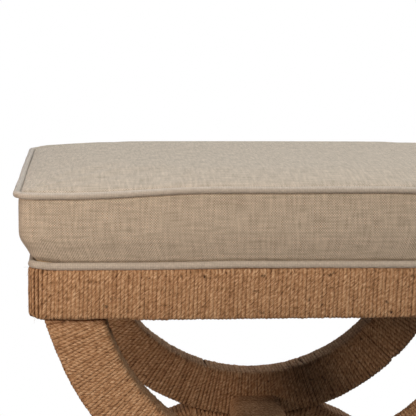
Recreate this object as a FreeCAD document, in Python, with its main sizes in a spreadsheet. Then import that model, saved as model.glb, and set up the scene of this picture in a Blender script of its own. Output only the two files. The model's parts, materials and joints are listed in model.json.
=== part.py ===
import FreeCAD, Part
import math
import os
import re
import Sketcher

# A rope-wrapped bench on two curule frames, with a boxed linen seat.
# Millimetres. The origin is on the floor under the middle of the seat, +Z is up,
# +X runs along the width and -Y is the front. One quarter or half is drawn and mirrored.

SIZES = {
    "leg_height": (377, "floor to the underside of the apron"),
    "leg_inset": (17, "end of the apron to the outer edge of a leg top"),
    "waist_dip": (12, "how far each arc passes the mid-height of the legs"),
    "limb_depth": (54.5, "wrapped limb, across the arc"),
    "limb_width": (42, "wrapped limb, front to back"),
    "limb_edge": (5, "edge radius of a wrapped limb"),
    "frame_setback": (12, "front of the apron to the front of a frame"),
    "rope_dia": (4, "rope, one layer"),
    "apron_width": (517, "apron over the rope"),
    "apron_depth": (384, "apron over the rope"),
    "apron_height": (50, "apron over the rope"),
    "apron_corner": (14, "corner radius of the apron, over the rope"),
    "apron_edge": (4, "edge radius of the apron's rope"),
    "rail_thickness": (20, "wooden apron rail"),
    "block_side": (58, "corner block, both ways"),
    "bolt_dia": (8, "leg bolt"),
    "bolt_bite": (40, "leg bolt in the leg"),
    "bolt_head_dia": (15, "leg bolt head across corners"),
    "bolt_head_height": (5.3, "leg bolt head"),
    "washer_dia": (20, "washer under the leg bolt"),
    "washer_thickness": (1.6, "washer under the leg bolt"),
    "counterbore_dia": (23, "recess for the bolt head"),
    "counterbore_depth": (8, "recess for the bolt head"),
    "screw_dia": (4.5, "wood screw shank"),
    "screw_head_dia": (9, "countersunk screw head"),
    "screw_head_height": (2.7, "countersunk screw head"),
    "screw_point": (6, "tapered screw end"),
    "seat_screw_bite": (8, "seat screw in the seat board"),
    "block_screw_bite": (14, "block screw in a rail"),
    "seat_screw_edge": (14, "seat screw to the free sides of its block"),
    "block_screw_edge": (27, "block screws to the free sides of the block"),
    "block_screw_step": (12, "height between the two block screws"),
    "rail_dowel_dia": (8, "dowel between two rails"),
    "rail_dowel_bite": (12, "rail dowel in the long rail"),
    "rail_dowel_length": (30, "rail dowel"),
    "rail_dowel_spacing": (20, "height between the two rail dowels"),
    "dowel_dia": (10, "waist and stretcher dowels"),
    "waist_dowel_out": (35, "waist dowel from the middle of the frame"),
    "waist_dowel_down": (29, "waist dowel below the waist"),
    "waist_dowel_up": (20, "waist dowel above the waist"),
    "stretcher_width": (62, "wrapped stretcher"),
    "stretcher_height": (32, "wrapped stretcher"),
    "stretcher_edge": (6, "edge radius of the wrapped stretcher"),
    "stretcher_dowel_edge": (11, "stretcher dowel to the side of the bare stretcher"),
    "stretcher_dowel_bite": (22, "stretcher dowel in the arc"),
    "stretcher_dowel_length": (56, "stretcher dowel"),
    "glide_dia": (24, "foot glide"),
    "glide_height": (4, "foot glide"),
    "glide_edge": (1.5, "bevel of a foot glide"),
    "glide_nail_dia": (2.5, "foot glide nail"),
    "glide_nail_length": (14, "foot glide nail"),
    "seat_board_thickness": (12, "plywood seat board"),
    "seat_board_corner": (10, "corner radius of the seat board"),
    "bottom_piping_dia": (7.4, "welt between the apron and the seat"),
    "top_piping_dia": (6.5, "welt round the top of the seat"),
    "cushion_width": (540, "seat over the top welt"),
    "cushion_depth": (400, "seat over the top welt"),
    "cushion_corner": (20, "corner radius of the seat"),
    "boxing_height": (64.3, "middle of the top welt over the bottom welt"),
    "boxing_reach": (3.2, "how far the top welt stands proud of the boxing"),
    "boxing_tuck": (32, "height over which the boxing draws in at its foot"),
    "crown_height": (17, "middle of the seat over the top welt"),
    "crown_run": (110, "width of the sloping edge of the crown"),
    "cover_thickness": (1.5, "linen with its lining"),
    "dust_cover_thickness": (1, "cloth under the seat board"),
    "soft_gap": (0.2, "clearance between soft pieces"),
}

PLACES = {
    "waist_z": "(leg_height / 2)",
    "arc_sag": "(waist_z + waist_dip)",
    "leg_top_x": "(apron_width / 2 - leg_inset)",
    "arc_outer": "((leg_top_x * leg_top_x + arc_sag * arc_sag) / (2 * arc_sag))",
    "arc_inner": "(arc_outer - limb_depth)",
    "arc_rise": "(arc_outer - waist_dip)",
    "arc_middle": "(arc_outer - limb_depth / 2)",
    "upper_z": "(waist_z + arc_rise)",
    "lower_z": "(waist_z - arc_rise)",
    "crotch_angle": "(acos(arc_rise / arc_outer))",
    "limb_angle": "(90 - acos(arc_rise / arc_outer) / 1 deg)",
    "frame_y": "(apron_depth / 2 - frame_setback - limb_width / 2)",
    "frame_inner_y": "(frame_y - limb_width / 2)",
    "leg_bolt_x": "(sqrt(arc_middle * arc_middle - (upper_z - leg_height) * (upper_z - leg_height)))",
    "leg_bolt_y": "((rail_inner_y + frame_inner_y + rope_dia) / 2)",
    "bolt_seat_z": "(apron_top - counterbore_depth)",
    "foot_x": "(sqrt(arc_middle * arc_middle - (glide_height - lower_z) * (glide_height - lower_z)))",
    "apron_top": "(leg_height + apron_height)",
    "wall": "(rail_thickness + 2 * rope_dia)",
    "rail_length": "(apron_width - 2 * rope_dia)",
    "rail_depth": "(apron_depth - 2 * rope_dia)",
    "rail_height": "(apron_height - 2 * rope_dia)",
    "rail_z": "(leg_height + rope_dia)",
    "rail_inner_x": "(rail_length / 2 - rail_thickness)",
    "rail_inner_y": "(rail_depth / 2 - rail_thickness)",
    "block_x": "(rail_inner_x - block_side)",
    "block_y": "(rail_inner_y - block_side)",
    "block_screw_length": "(block_side + block_screw_bite)",
    "seat_screw_length": "(apron_height + seat_screw_bite)",
    "waist_dowel_length": "(waist_dowel_up + waist_dowel_down)",
    "stretcher_length": "(2 * frame_inner_y)",
    "bare_stretcher_width": "(stretcher_width - 2 * rope_dia)",
    "bare_stretcher_height": "(stretcher_height - 2 * rope_dia)",
    "stretcher_dowel_x": "(bare_stretcher_width / 2 - stretcher_dowel_edge)",
    "stretcher_dowel_y": "(frame_inner_y + rope_dia + stretcher_dowel_bite)",
    "board_width": "(apron_width - 2 * bottom_piping_dia - 2 * soft_gap)",
    "board_depth": "(apron_depth - 2 * bottom_piping_dia - 2 * soft_gap)",
    "board_top": "(apron_top + seat_board_thickness)",
    "top_welt_z": "(apron_top + bottom_piping_dia + boxing_height)",
}

doc = FreeCAD.newDocument("rope_bench")
sheet = doc.addObject("Spreadsheet::Sheet", "dims")
for row, (alias, (size, note)) in enumerate(SIZES.items(), start=1):
    sheet.set(f"A{row}", note)
    sheet.set(f"B{row}", str(size))
    sheet.setAlias(f"B{row}", alias)
doc.recompute()

NODES = []


def formula(text):
    """Spells out the named places in a formula and points its sizes at the sheet."""
    def spell(match):
        word = match.group(0)
        if word in PLACES:
            return formula(PLACES[word])
        return f"dims.{word}" if word in SIZES else word
    return re.sub(r"[a-z_]+", spell, str(text))


def value(text):
    """The number that a formula comes to."""
    return float(sheet.evalExpression(formula(text)))


def bind(target, properties):
    """Ties properties to formulas."""
    for name, text in properties.items():
        target.setExpression(name, formula(text))
    return target


def place(target, x=0, y=0, z=0):
    """Ties the position of an object to formulas."""
    return bind(target, {"Placement.Base.x": x, "Placement.Base.y": y, "Placement.Base.z": z})


def node(target):
    """Marks an object as a sub-part to be written."""
    NODES.append(target)
    return target


def box(name, length, width, height, x, y, z):
    """A box with its low corner at x, y, z."""
    made = doc.addObject("Part::Box", name)
    bind(made, {"Length": length, "Width": width, "Height": height})
    return place(made, x, y, z)


AXIS_TURNS = {
    "X": FreeCAD.Rotation(FreeCAD.Vector(0, 1, 0), 90),
    "Y": FreeCAD.Rotation(FreeCAD.Vector(1, 0, 0), -90),
    "Z": FreeCAD.Rotation(),
}


def cylinder(name, diameter, height, x, y, z, axis="Z"):
    """A cylinder that starts at x, y, z and runs along a positive axis."""
    made = doc.addObject("Part::Cylinder", name)
    made.Placement.Rotation = AXIS_TURNS[axis]
    bind(made, {"Radius": f"({diameter}) / 2", "Height": height})
    return place(made, x, y, z)


def cut(name, base, *tools):
    """The base less each tool in turn."""
    for step, tool in enumerate(tools, start=1):
        made = doc.addObject("Part::Cut", name if step == len(tools) else f"{name}_cut_{step}")
        made.Base = base
        made.Tool = tool
        base = made
    return base


def common(name, first, second):
    """What two solids share."""
    made = doc.addObject("Part::Common", name)
    made.Base = first
    made.Tool = second
    return made


def group(name, members):
    """Separate solids kept together."""
    made = doc.addObject("Part::Compound", name)
    made.Links = list(members)
    return made


def mirror(name, source, axis):
    """The source reflected through the middle of the bench along an axis."""
    made = doc.addObject("Part::Mirroring", name)
    made.Source = source
    made.Normal = FreeCAD.Vector(axis == "X", axis == "Y", axis == "Z")
    return made


def four_corners(name, source):
    """The source and its three reflections at the other corners."""
    right = mirror(f"{name}_right", source, "X")
    return [source, right, mirror(f"{name}_back_left", source, "Y"), mirror(f"{name}_back_right", right, "Y")]


def new_body(name):
    """A body and its origin planes and axes by role."""
    body = doc.addObject("PartDesign::Body", name)
    return body, {feature.Role: feature for feature in body.Origin.OriginFeatures}


def new_sketch(body, name, plane):
    """A sketch on one of its body's origin planes."""
    sketch = body.newObject("Sketcher::SketchObject", name)
    sketch.AttachmentSupport = [(plane, "")]
    sketch.MapMode = "FlatFace"
    return sketch


def constrain(sketch, text, *constraint):
    """Adds a dimension that follows a formula."""
    index = sketch.addConstraint(Sketcher.Constraint(*constraint, value(text)))
    sketch.setExpression(f"Constraints[{index}]", formula(text))


ORIGIN = (-1, 1)


def rounded_rectangle(sketch, width, height, radius, inner=None):
    """Draws a rounded rectangle, centred, or with its left side at inner and centred in height."""
    half_height = value(height) / 2
    corner = value(radius)
    low = value(inner) if inner else -value(width) / 2
    high = low + value(width)
    centres = [(high - corner, corner - half_height), (high - corner, half_height - corner),
               (low + corner, half_height - corner), (low + corner, corner - half_height)]
    up = FreeCAD.Vector(0, 0, 1)
    arcs = []
    for step, (x, y) in enumerate(centres):
        ring = Part.Circle(FreeCAD.Vector(x, y, 0), up, corner)
        start = math.radians(90 * step - 90)
        arcs.append(sketch.addGeometry(Part.ArcOfCircle(ring, start, start + math.pi / 2), False))
    lines = []
    for arc, after in zip(arcs, arcs[1:] + arcs[:1]):
        ends = sketch.Geometry[arc].EndPoint, sketch.Geometry[after].StartPoint
        line = sketch.addGeometry(Part.LineSegment(*ends), False)
        sketch.addConstraint(Sketcher.Constraint("Tangent", arc, 2, line, 1))
        sketch.addConstraint(Sketcher.Constraint("Tangent", line, 2, after, 1))
        lines.append(line)
    right, top, left, bottom = lines
    for line in (right, left):
        sketch.addConstraint(Sketcher.Constraint("Vertical", line))
    for line in (top, bottom):
        sketch.addConstraint(Sketcher.Constraint("Horizontal", line))
    for arc in arcs[1:]:
        sketch.addConstraint(Sketcher.Constraint("Equal", arcs[0], arc))
    constrain(sketch, radius, "Radius", arcs[0])
    constrain(sketch, width, "DistanceX", left, 1, right, 1)
    constrain(sketch, height, "DistanceY", bottom, 1, top, 1)
    constrain(sketch, f"({height}) / 2", "DistanceY", bottom, 1, *ORIGIN)
    if inner:
        constrain(sketch, inner, "DistanceX", *ORIGIN, left, 1)
    else:
        constrain(sketch, f"({width}) / 2", "DistanceX", left, 1, *ORIGIN)


def rectangle(sketch, width, height, inner):
    """Draws a plain rectangle with its left side at inner, centred in height."""
    half_height = value(height) / 2
    low = value(inner)
    high = low + value(width)
    corners = [FreeCAD.Vector(x, y, 0) for x, y in
               ((low, -half_height), (high, -half_height), (high, half_height), (low, half_height))]
    lines = [sketch.addGeometry(Part.LineSegment(start, end), False)
             for start, end in zip(corners, corners[1:] + corners[:1])]
    for line, after in zip(lines, lines[1:] + lines[:1]):
        sketch.addConstraint(Sketcher.Constraint("Coincident", line, 2, after, 1))
    bottom, right, top, left = lines
    for line in (bottom, top):
        sketch.addConstraint(Sketcher.Constraint("Horizontal", line))
    for line in (right, left):
        sketch.addConstraint(Sketcher.Constraint("Vertical", line))
    constrain(sketch, width, "DistanceX", bottom, 1, bottom, 2)
    constrain(sketch, height, "DistanceY", right, 1, right, 2)
    constrain(sketch, inner, "DistanceX", *ORIGIN, bottom, 1)
    constrain(sketch, f"({height}) / 2", "DistanceY", bottom, 1, *ORIGIN)


def rounded_prism(name, width, depth, radius, height, z, plane="XY_Plane"):
    """A padded rounded rectangle. Its pad starts at z, or is centred front to back on XZ_Plane."""
    body, roles = new_body(name)
    sketch = new_sketch(body, f"{name}_outline", roles[plane])
    rounded_rectangle(sketch, width, depth, radius)
    pad = body.newObject("PartDesign::Pad", f"{name}_pad")
    pad.Profile = sketch
    pad.Midplane = plane == "XZ_Plane"
    bind(pad, {"Length": height})
    return place(body, z=z)


def arc_bar(name, centre_z, start, sweep, bare):
    """A bar bent round an axis along Y, from start by sweep degrees, clockwise seen from the front."""
    body, roles = new_body(name)
    sketch = new_sketch(body, f"{name}_section", roles["XY_Plane"])
    if bare:
        rectangle(sketch, "limb_depth - 2 * rope_dia", "limb_width - 2 * rope_dia", "arc_inner + rope_dia")
    else:
        rounded_rectangle(sketch, "limb_depth", "limb_width", "limb_edge", "arc_inner")
    turn = body.newObject("PartDesign::Revolution", f"{name}_turn")
    turn.Profile = sketch
    turn.ReferenceAxis = (roles["Y_Axis"], [""])
    bind(turn, {"Angle": sweep})
    body.Placement.Rotation = FreeCAD.Rotation(FreeCAD.Vector(0, 1, 0), 1)
    bind(body, {"Placement.Rotation.Angle": start})
    return place(body, 0, "-frame_y", centre_z)


def turned(name, outline):
    """A solid turned about Z from radius and height formulas, from the axis and back to it."""
    body, roles = new_body(name)
    sketch = new_sketch(body, f"{name}_outline", roles["XZ_Plane"])
    points = [FreeCAD.Vector(value(radius), value(height), 0) for radius, height in outline]
    lines = [sketch.addGeometry(Part.LineSegment(start, end), False)
             for start, end in zip(points, points[1:] + points[:1])]
    for line, after in zip(lines, lines[1:] + lines[:1]):
        sketch.addConstraint(Sketcher.Constraint("Coincident", line, 2, after, 1))
    for line, (radius, height) in zip(lines, outline):
        if radius == 0:
            sketch.addConstraint(Sketcher.Constraint("PointOnObject", line, 1, -2))
        else:
            constrain(sketch, radius, "DistanceX", *ORIGIN, line, 1)
        if height == 0:
            sketch.addConstraint(Sketcher.Constraint("PointOnObject", line, 1, -1))
        else:
            constrain(sketch, height, "DistanceY", *ORIGIN, line, 1)
    turn = body.newObject("PartDesign::Revolution", f"{name}_turn")
    turn.Profile = sketch
    turn.ReferenceAxis = (sketch, ["V_Axis"])
    turn.Angle = 360
    return body


def wood_screw(name, length, axis, x, y, z):
    """A countersunk screw with its head at x, y, z, driven along an axis."""
    shank = "screw_dia / 2"
    outline = [(0, 0), ("screw_head_dia / 2", 0), (shank, "screw_head_height"),
               (shank, f"{length} - screw_point"), (0, length)]
    made = turned(name, outline)
    made.Placement.Rotation = FreeCAD.Rotation(FreeCAD.Vector(0, 0, 1), axis)
    return place(made, x, y, z)


def make_leg_bolts():
    """Hexagon bolts down through the corner blocks into the leg tops, with washers."""
    at = ("-leg_bolt_x", "-leg_bolt_y")
    head_z = "bolt_seat_z + washer_thickness"
    head = doc.addObject("Part::Prism", "leg_bolt_head")
    bind(head, {"Circumradius": "bolt_head_dia / 2", "Height": "bolt_head_height"})
    place(head, *at, head_z)
    shank_z = "leg_height - bolt_bite"
    shank = cylinder("leg_bolt_shank", "bolt_dia", f"{head_z} - ({shank_z})", *at, shank_z)
    bolt = doc.addObject("Part::Fuse", "leg_bolt")
    bolt.Base = head
    bolt.Tool = shank
    disc = cylinder("washer_disc", "washer_dia", "washer_thickness", *at, "bolt_seat_z")
    washer = cut("washer", disc, shank)
    recess = cylinder("bolt_recess", "counterbore_dia", "counterbore_depth", *at, "bolt_seat_z")
    bolts = node(group("leg_bolts", four_corners("leg_bolt", bolt)))
    node(group("leg_bolt_washers", four_corners("washer", washer)))
    return bolts, recess


def make_screws():
    """Seat screws up through the blocks, and block screws into both rails of each corner."""
    up = FreeCAD.Vector(0, 0, 1)
    seat_screw = wood_screw("seat_screw", "seat_screw_length", up, "-(block_x + seat_screw_edge)",
                            "-(block_y + seat_screw_edge)", "leg_height")
    middle_z = "leg_height + apron_height / 2"
    to_front = wood_screw("front_block_screw", "block_screw_length", FreeCAD.Vector(0, -1, 0),
                          "-(block_x + block_screw_edge)", "-block_y", f"{middle_z} - block_screw_step / 2")
    to_side = wood_screw("side_block_screw", "block_screw_length", FreeCAD.Vector(-1, 0, 0),
                         "-block_x", "-(block_y + block_screw_edge)", f"{middle_z} + block_screw_step / 2")
    seat_screws = node(group("seat_screws", four_corners("seat_screw", seat_screw)))
    sides = four_corners("front_block_screw", to_front) + four_corners("side_block_screw", to_side)
    return seat_screws, node(group("corner_block_screws", sides))


def make_rail_dowels():
    """Two dowels in each corner of the apron, from the end rail into the long rail."""
    dowels = []
    for level, side in (("low", "-"), ("high", "+")):
        height = f"leg_height + apron_height / 2 {side} rail_dowel_spacing / 2"
        dowel = cylinder(f"{level}_rail_dowel", "rail_dowel_dia", "rail_dowel_length",
                         "-(rail_inner_x + rail_thickness / 2)", "-(rail_inner_y + rail_dowel_bite)",
                         height, "Y")
        dowels += four_corners(f"{level}_rail_dowel", dowel)
    return node(group("rail_dowels", dowels))


def make_apron(fixings):
    """Four wooden rails and four corner blocks. Returns the space of all eight and of the blocks."""
    rail_dowels, block_screws, leg_bolts, seat_screws, recess = fixings
    outline = rounded_prism("rail_outline", "rail_length", "rail_depth", "apron_corner - rope_dia",
                            "rail_height", "rail_z")
    front_stock = box("front_rail_stock", "rail_length", "rail_thickness", "rail_height",
                      "-rail_length / 2", "-rail_depth / 2", "rail_z")
    front_blank = common("front_rail_blank", front_stock, outline)
    front = node(cut("front_rail", front_blank, rail_dowels, block_screws))
    node(mirror("back_rail", front, "Y"))
    side_stock = box("left_rail_stock", "rail_thickness", "2 * rail_inner_y", "rail_height",
                     "-rail_length / 2", "-rail_inner_y", "rail_z")
    left = node(cut("left_rail", side_stock, rail_dowels, block_screws))
    node(mirror("right_rail", left, "X"))
    stock = box("corner_block_stock", "block_side", "block_side", "apron_height",
                "-rail_inner_x", "-rail_inner_y", "leg_height")
    block = node(cut("corner_block_front_left", stock, leg_bolts, recess, seat_screws, block_screws))
    right = node(mirror("corner_block_front_right", block, "X"))
    node(mirror("corner_block_back_left", block, "Y"))
    node(mirror("corner_block_back_right", right, "Y"))
    blocks = group("block_space", four_corners("block_stock", stock))
    rails = [front_blank, mirror("back_rail_blank", front_blank, "Y"),
             side_stock, mirror("right_rail_stock", side_stock, "X")]
    return group("apron_space", rails + [blocks]), blocks


def make_apron_wraps(wood):
    """Rope sleeves on the four rails, with a separate strip of turns on each round corner."""
    skin = rounded_prism("apron_skin", "apron_width", "apron_depth", "apron_corner", "apron_height",
                         "leg_height")
    doc.recompute()
    ends = [f"Face{index}" for index, face in enumerate(skin.Shape.Faces, start=1)
            if abs(face.normalAt(0, 0).z) > 0.5]
    pad = skin.Tip
    edge = skin.newObject("PartDesign::Fillet", "apron_skin_edge")
    edge.Base = (pad, ends)
    bind(edge, {"Radius": "apron_edge"})
    low = ("-apron_depth / 2", "leg_height")
    front_zone = box("front_wrap_zone", "apron_width - 2 * apron_corner", "wall", "apron_height",
                     "apron_corner - apron_width / 2", *low)
    front = node(cut("front_rail_wrap", common("front_wrap_skin", skin, front_zone), wood))
    node(mirror("back_rail_wrap", front, "Y"))
    inner_zone = box("left_wrap_inner_zone", "wall", "apron_depth - 2 * wall", "apron_height",
                     "-apron_width / 2", "wall - apron_depth / 2", "leg_height")
    outer_zone = box("left_wrap_outer_zone", "apron_corner", "apron_depth - 2 * apron_corner", "apron_height",
                     "-apron_width / 2", "apron_corner - apron_depth / 2", "leg_height")
    side_zone = doc.addObject("Part::Fuse", "left_wrap_zone")
    side_zone.Base = inner_zone
    side_zone.Tool = outer_zone
    left = node(cut("left_rail_wrap", common("left_wrap_skin", skin, side_zone), wood))
    node(mirror("right_rail_wrap", left, "X"))
    corner_zone = box("corner_wrap_zone", "apron_corner", "apron_corner", "apron_height",
                      "-apron_width / 2", *low)
    corner = node(cut("corner_wrap_front_left", common("corner_wrap_skin", skin, corner_zone), wood))
    right = node(mirror("corner_wrap_front_right", corner, "X"))
    node(mirror("corner_wrap_back_left", corner, "Y"))
    node(mirror("corner_wrap_back_right", right, "Y"))


def make_waist_dowels():
    """Upright dowels that hold each upper arc in the saddle of its lower arch."""
    left = cylinder("waist_dowel", "dowel_dia", "waist_dowel_length", "-waist_dowel_out", "-frame_y",
                    "waist_z - waist_dowel_down")
    return node(group("waist_dowels", four_corners("waist_dowel", left)))


def make_stretcher_dowels():
    """Dowels from the upper arcs into the ends of the stretcher."""
    left = cylinder("stretcher_dowel", "dowel_dia", "stretcher_dowel_length", "-stretcher_dowel_x",
                    "-stretcher_dowel_y", "waist_z", "Y")
    return node(group("stretcher_dowels", four_corners("stretcher_dowel", left)))


def make_stretcher(dowels):
    """The flat bar between the frames and its rope sleeve."""
    bare = rounded_prism("bare_stretcher", "bare_stretcher_width", "bare_stretcher_height",
                         "stretcher_edge - rope_dia", "stretcher_length", "waist_z", "XZ_Plane")
    node(cut("stretcher", bare, dowels))
    full = rounded_prism("stretcher_sleeve", "stretcher_width", "stretcher_height", "stretcher_edge",
                         "stretcher_length", "waist_z", "XZ_Plane")
    node(cut("stretcher_wrap", full, bare))


def make_glides():
    """Nailed glides under the four feet."""
    nail = "glide_nail_dia / 2"
    outline = [(0, 0), ("glide_dia / 2 - glide_edge", 0), ("glide_dia / 2", "glide_edge"),
               ("glide_dia / 2", "glide_height"), (nail, "glide_height"),
               (nail, "glide_height + glide_nail_length"), (0, "glide_height + glide_nail_length")]
    first = node(place(turned("foot_glide_front_left", outline), "-foot_x", "-frame_y"))
    right = node(mirror("foot_glide_front_right", first, "X"))
    back_left = node(mirror("foot_glide_back_left", first, "Y"))
    return group("all_glides", [first, right, back_left, node(mirror("foot_glide_back_right", right, "Y"))])


def make_frames(leg_bolts, waist_dowels, stretcher_dowels, glides):
    """Front and back frames: a wooden U on a saddled wooden arch, each with three rope sleeves."""
    span = ("4 * arc_outer", "2 * limb_width")
    corner = ("-2 * arc_outer", "-frame_y - limb_width")
    above = box("above_legs", *span, "arc_outer", *corner, "leg_height")
    below = box("below_feet", *span, "arc_outer", *corner, "glide_height - arc_outer")
    axle_y = "-frame_y - limb_width"
    across = ("2 * limb_width", 0, axle_y, "upper_z", "Y")
    saddle = cylinder("rope_saddle", "2 * arc_outer", *across)
    bare_saddle = cylinder("wood_saddle", "2 * (arc_outer + rope_dia)", *across)

    bare_upper = cut("upper_arc_blank", arc_bar("upper_bend", "upper_z", "0", "180", True), above)
    upper = cut("front_upper_arc", bare_upper, leg_bolts, waist_dowels, stretcher_dowels)
    lower_bend = arc_bar("lower_bend", "lower_z", "180", "180", True)
    bare_lower = cut("lower_arch_blank", lower_bend, bare_saddle, below)
    lower = cut("front_lower_arch", bare_lower, waist_dowels, glides)

    waist = arc_bar("upper_waist_bend", "upper_z", "limb_angle", "2 * crotch_angle", False)
    waist_wrap = cut("front_upper_waist_wrap", waist, bare_upper, waist_dowels, stretcher_dowels)
    upper_limb = arc_bar("upper_limb_bend", "upper_z", "180 - limb_angle", "limb_angle", False)
    upper_wrap = cut("front_upper_left_wrap", upper_limb, above, bare_upper)
    crown = arc_bar("lower_crown_bend", "lower_z", "180 + limb_angle", "2 * crotch_angle", False)
    crown_wrap = cut("front_lower_crown_wrap", crown, saddle, bare_lower, waist_dowels)
    lower_limb = arc_bar("lower_limb_bend", "lower_z", "180", "limb_angle", False)
    lower_wrap = cut("front_lower_left_wrap", lower_limb, below, bare_lower)

    front = [upper, lower, waist_wrap, crown_wrap, upper_wrap, lower_wrap,
             mirror("front_upper_right_wrap", upper_wrap, "X"),
             mirror("front_lower_right_wrap", lower_wrap, "X")]
    for piece in front:
        node(piece)
        node(mirror(piece.Name.replace("front", "back"), piece, "Y"))


def make_seat_board(seat_screws, blocks):
    """The plywood seat board and the cloth stapled under it."""
    board = rounded_prism("board_blank", "board_width", "board_depth", "seat_board_corner",
                          "seat_board_thickness", "apron_top")
    node(cut("seat_board", board, seat_screws))
    cloth = box("dust_cover_blank", "apron_width - 2 * wall", "apron_depth - 2 * wall",
                "dust_cover_thickness", "wall - apron_width / 2", "wall - apron_depth / 2",
                "apron_top - dust_cover_thickness")
    node(cut("dust_cover", cloth, blocks))


def make_piping(name, diameter, width, depth, radius, z):
    """A closed welt: a round cord swept along a rounded rectangle."""
    path = doc.addObject("Sketcher::SketchObject", f"{name}_path")
    rounded_rectangle(path, f"{width} - {diameter}", f"{depth} - {diameter}", f"{radius} - {diameter} / 2")
    place(path, z=z)
    section = doc.addObject("Part::Circle", f"{name}_section")
    section.Placement.Rotation = AXIS_TURNS["X"]
    bind(section, {"Radius": f"{diameter} / 2"})
    place(section, f"({width}) / 2 - {radius}", f"-({depth} - {diameter}) / 2", z)
    welt = doc.addObject("Part::Sweep", name)
    welt.Sections = [section]
    doc.recompute()
    welt.Spine = (path, [f"Edge{index}" for index in range(1, len(path.Shape.Edges) + 1)])
    welt.Solid = True
    return node(welt)


def outline_wire(half_width, half_depth, radius, z):
    """A rounded rectangle as a wire of lines and quarter arcs."""
    straight_x = half_width - radius
    straight_y = half_depth - radius
    middle = radius * math.sqrt(0.5)
    edges = []
    for x, y, across in ((1, 1, False), (-1, 1, True), (-1, -1, False), (1, -1, True)):
        flat = FreeCAD.Vector(x * half_width, y * straight_y, z)
        bend = FreeCAD.Vector(x * (straight_x + middle), y * (straight_y + middle), z)
        edge = FreeCAD.Vector(x * straight_x, y * half_depth, z)
        start, end = (edge, flat) if across else (flat, edge)
        if edges:
            edges.append(Part.LineSegment(edges[-1].Vertexes[-1].Point, start).toShape())
        edges.append(Part.Arc(start, bend, end).toShape())
    edges.append(Part.LineSegment(edges[-1].Vertexes[-1].Point, edges[0].Vertexes[0].Point).toShape())
    return Part.Wire(edges)


def boxing_section(z, inset):
    """Half width, half depth, corner radius and height of the boxing, inset by a thickness."""
    foot_z = value("apron_top + bottom_piping_dia")
    share = min(max((z - foot_z) / value("boxing_tuck"), 0), 1)
    swell = (1 - math.cos(math.pi * share)) / 2
    foot_inset = value("bottom_piping_dia / 4")
    halves = []
    for foot, head in (("apron_width", "cushion_width"), ("apron_depth", "cushion_depth")):
        low = value(foot) / 2 - foot_inset
        high = value(head) / 2 - value("boxing_reach")
        halves.append(low + (high - low) * swell - inset)
    return halves[0], halves[1], value("cushion_corner - boxing_reach") - inset, z


def crown_section(angle, drop):
    """Half width, half depth, corner radius and height of the crown at an angle up its edge."""
    edge = value("top_piping_dia + soft_gap")
    inset = edge + value("crown_run") * (1 - math.cos(angle))
    height = value("top_welt_z") + value("crown_height") * math.sin(angle) - drop
    half_width = value("cushion_width") / 2 - inset
    half_depth = value("cushion_depth") / 2 - inset
    corner = value("cushion_corner") - edge + (inset - edge) / 2
    corner = min(corner, CORNER_SHARE * half_width, CORNER_SHARE * half_depth)
    return half_width, half_depth, corner, height


CORNER_SHARE = 0.9  # the roundest that a corner of the crown gets on its half side
CROWN_ANGLES = [math.radians(15 * step) for step in range(7)]
TUCK_STEPS = 6


def boxing_heights(low, high):
    """Heights between low and high, close together where the boxing draws in."""
    foot_z = value("apron_top + bottom_piping_dia")
    steps = [foot_z + value("boxing_tuck") * step / TUCK_STEPS for step in range(1, TUCK_STEPS + 1)]
    return [low] + [z for z in steps if low < z < high] + [high]


def loft(sections):
    """A ruled solid through rounded rectangles."""
    return Part.makeLoft([outline_wire(*section) for section in sections], True, True)


def soft(name, shape):
    """A soft sub-part from a shape."""
    made = doc.addObject("Part::Feature", name)
    made.Shape = shape
    made.Placement = FreeCAD.Placement()
    return node(made)


def make_cushion():
    """Crowned foam, the boxing drawn in at its foot and the top panel over the crown."""
    gap = value("soft_gap")
    cover = value("cover_thickness")
    top_z = value("top_welt_z")
    foot_z = value("apron_top + bottom_piping_dia") + gap
    head_z = top_z - value("top_piping_dia / 2") - gap

    outside = loft([boxing_section(z, 0) for z in boxing_heights(foot_z, head_z)])
    inside = loft([boxing_section(z, cover) for z in boxing_heights(foot_z - cover, head_z + cover)])
    soft("seat_cover_boxing", outside.cut(inside))

    panel = loft([crown_section(angle, 0) for angle in CROWN_ANGLES])
    under = loft([crown_section(angle, cover) for angle in CROWN_ANGLES])
    soft("seat_cover_top", panel.cut(under))

    lined = cover + gap
    sides = [boxing_section(z, lined) for z in boxing_heights(value("board_top"), head_z)]
    soft("seat_foam", loft(sides + [crown_section(angle, lined) for angle in CROWN_ANGLES]))


def build():
    """Makes every sub-part in the document."""
    leg_bolts, recess = make_leg_bolts()
    seat_screws, block_screws = make_screws()
    rail_dowels = make_rail_dowels()
    wood, blocks = make_apron((rail_dowels, block_screws, leg_bolts, seat_screws, recess))
    make_apron_wraps(wood)
    waist_dowels = make_waist_dowels()
    stretcher_dowels = make_stretcher_dowels()
    make_stretcher(stretcher_dowels)
    glides = make_glides()
    make_frames(leg_bolts, waist_dowels, stretcher_dowels, glides)
    make_seat_board(seat_screws, blocks)
    make_piping("bottom_piping", "bottom_piping_dia", "apron_width", "apron_depth", "apron_corner",
                "apron_top + bottom_piping_dia / 2")
    make_piping("top_piping", "top_piping_dia", "cushion_width", "cushion_depth", "cushion_corner",
                "top_welt_z")
    make_cushion()
    doc.recompute()


def check():
    """Stops on any object that failed or any sub-part without a sound shape."""
    for item in doc.Objects:
        if "Invalid" in item.State or "Error" in item.State:
            raise RuntimeError(f"{item.Label} failed: {item.State}")
    for item in NODES:
        if item.Shape.isNull() or not item.Shape.isValid() or not item.Shape.Solids:
            raise RuntimeError(f"{item.Label} has no sound shape")


def write():
    """Writes each sub-part to its own file."""
    os.makedirs("parts", exist_ok=True)
    for item in NODES:
        item.Shape.exportStep(f"parts/{item.Label}.step")
    print(len(NODES), "sub-parts,", sum(len(item.Shape.Solids) for item in NODES), "solids")


build()
check()
write()
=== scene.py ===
"""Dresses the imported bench: rope on its frames and apron, a boxed linen seat, light and camera."""

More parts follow.
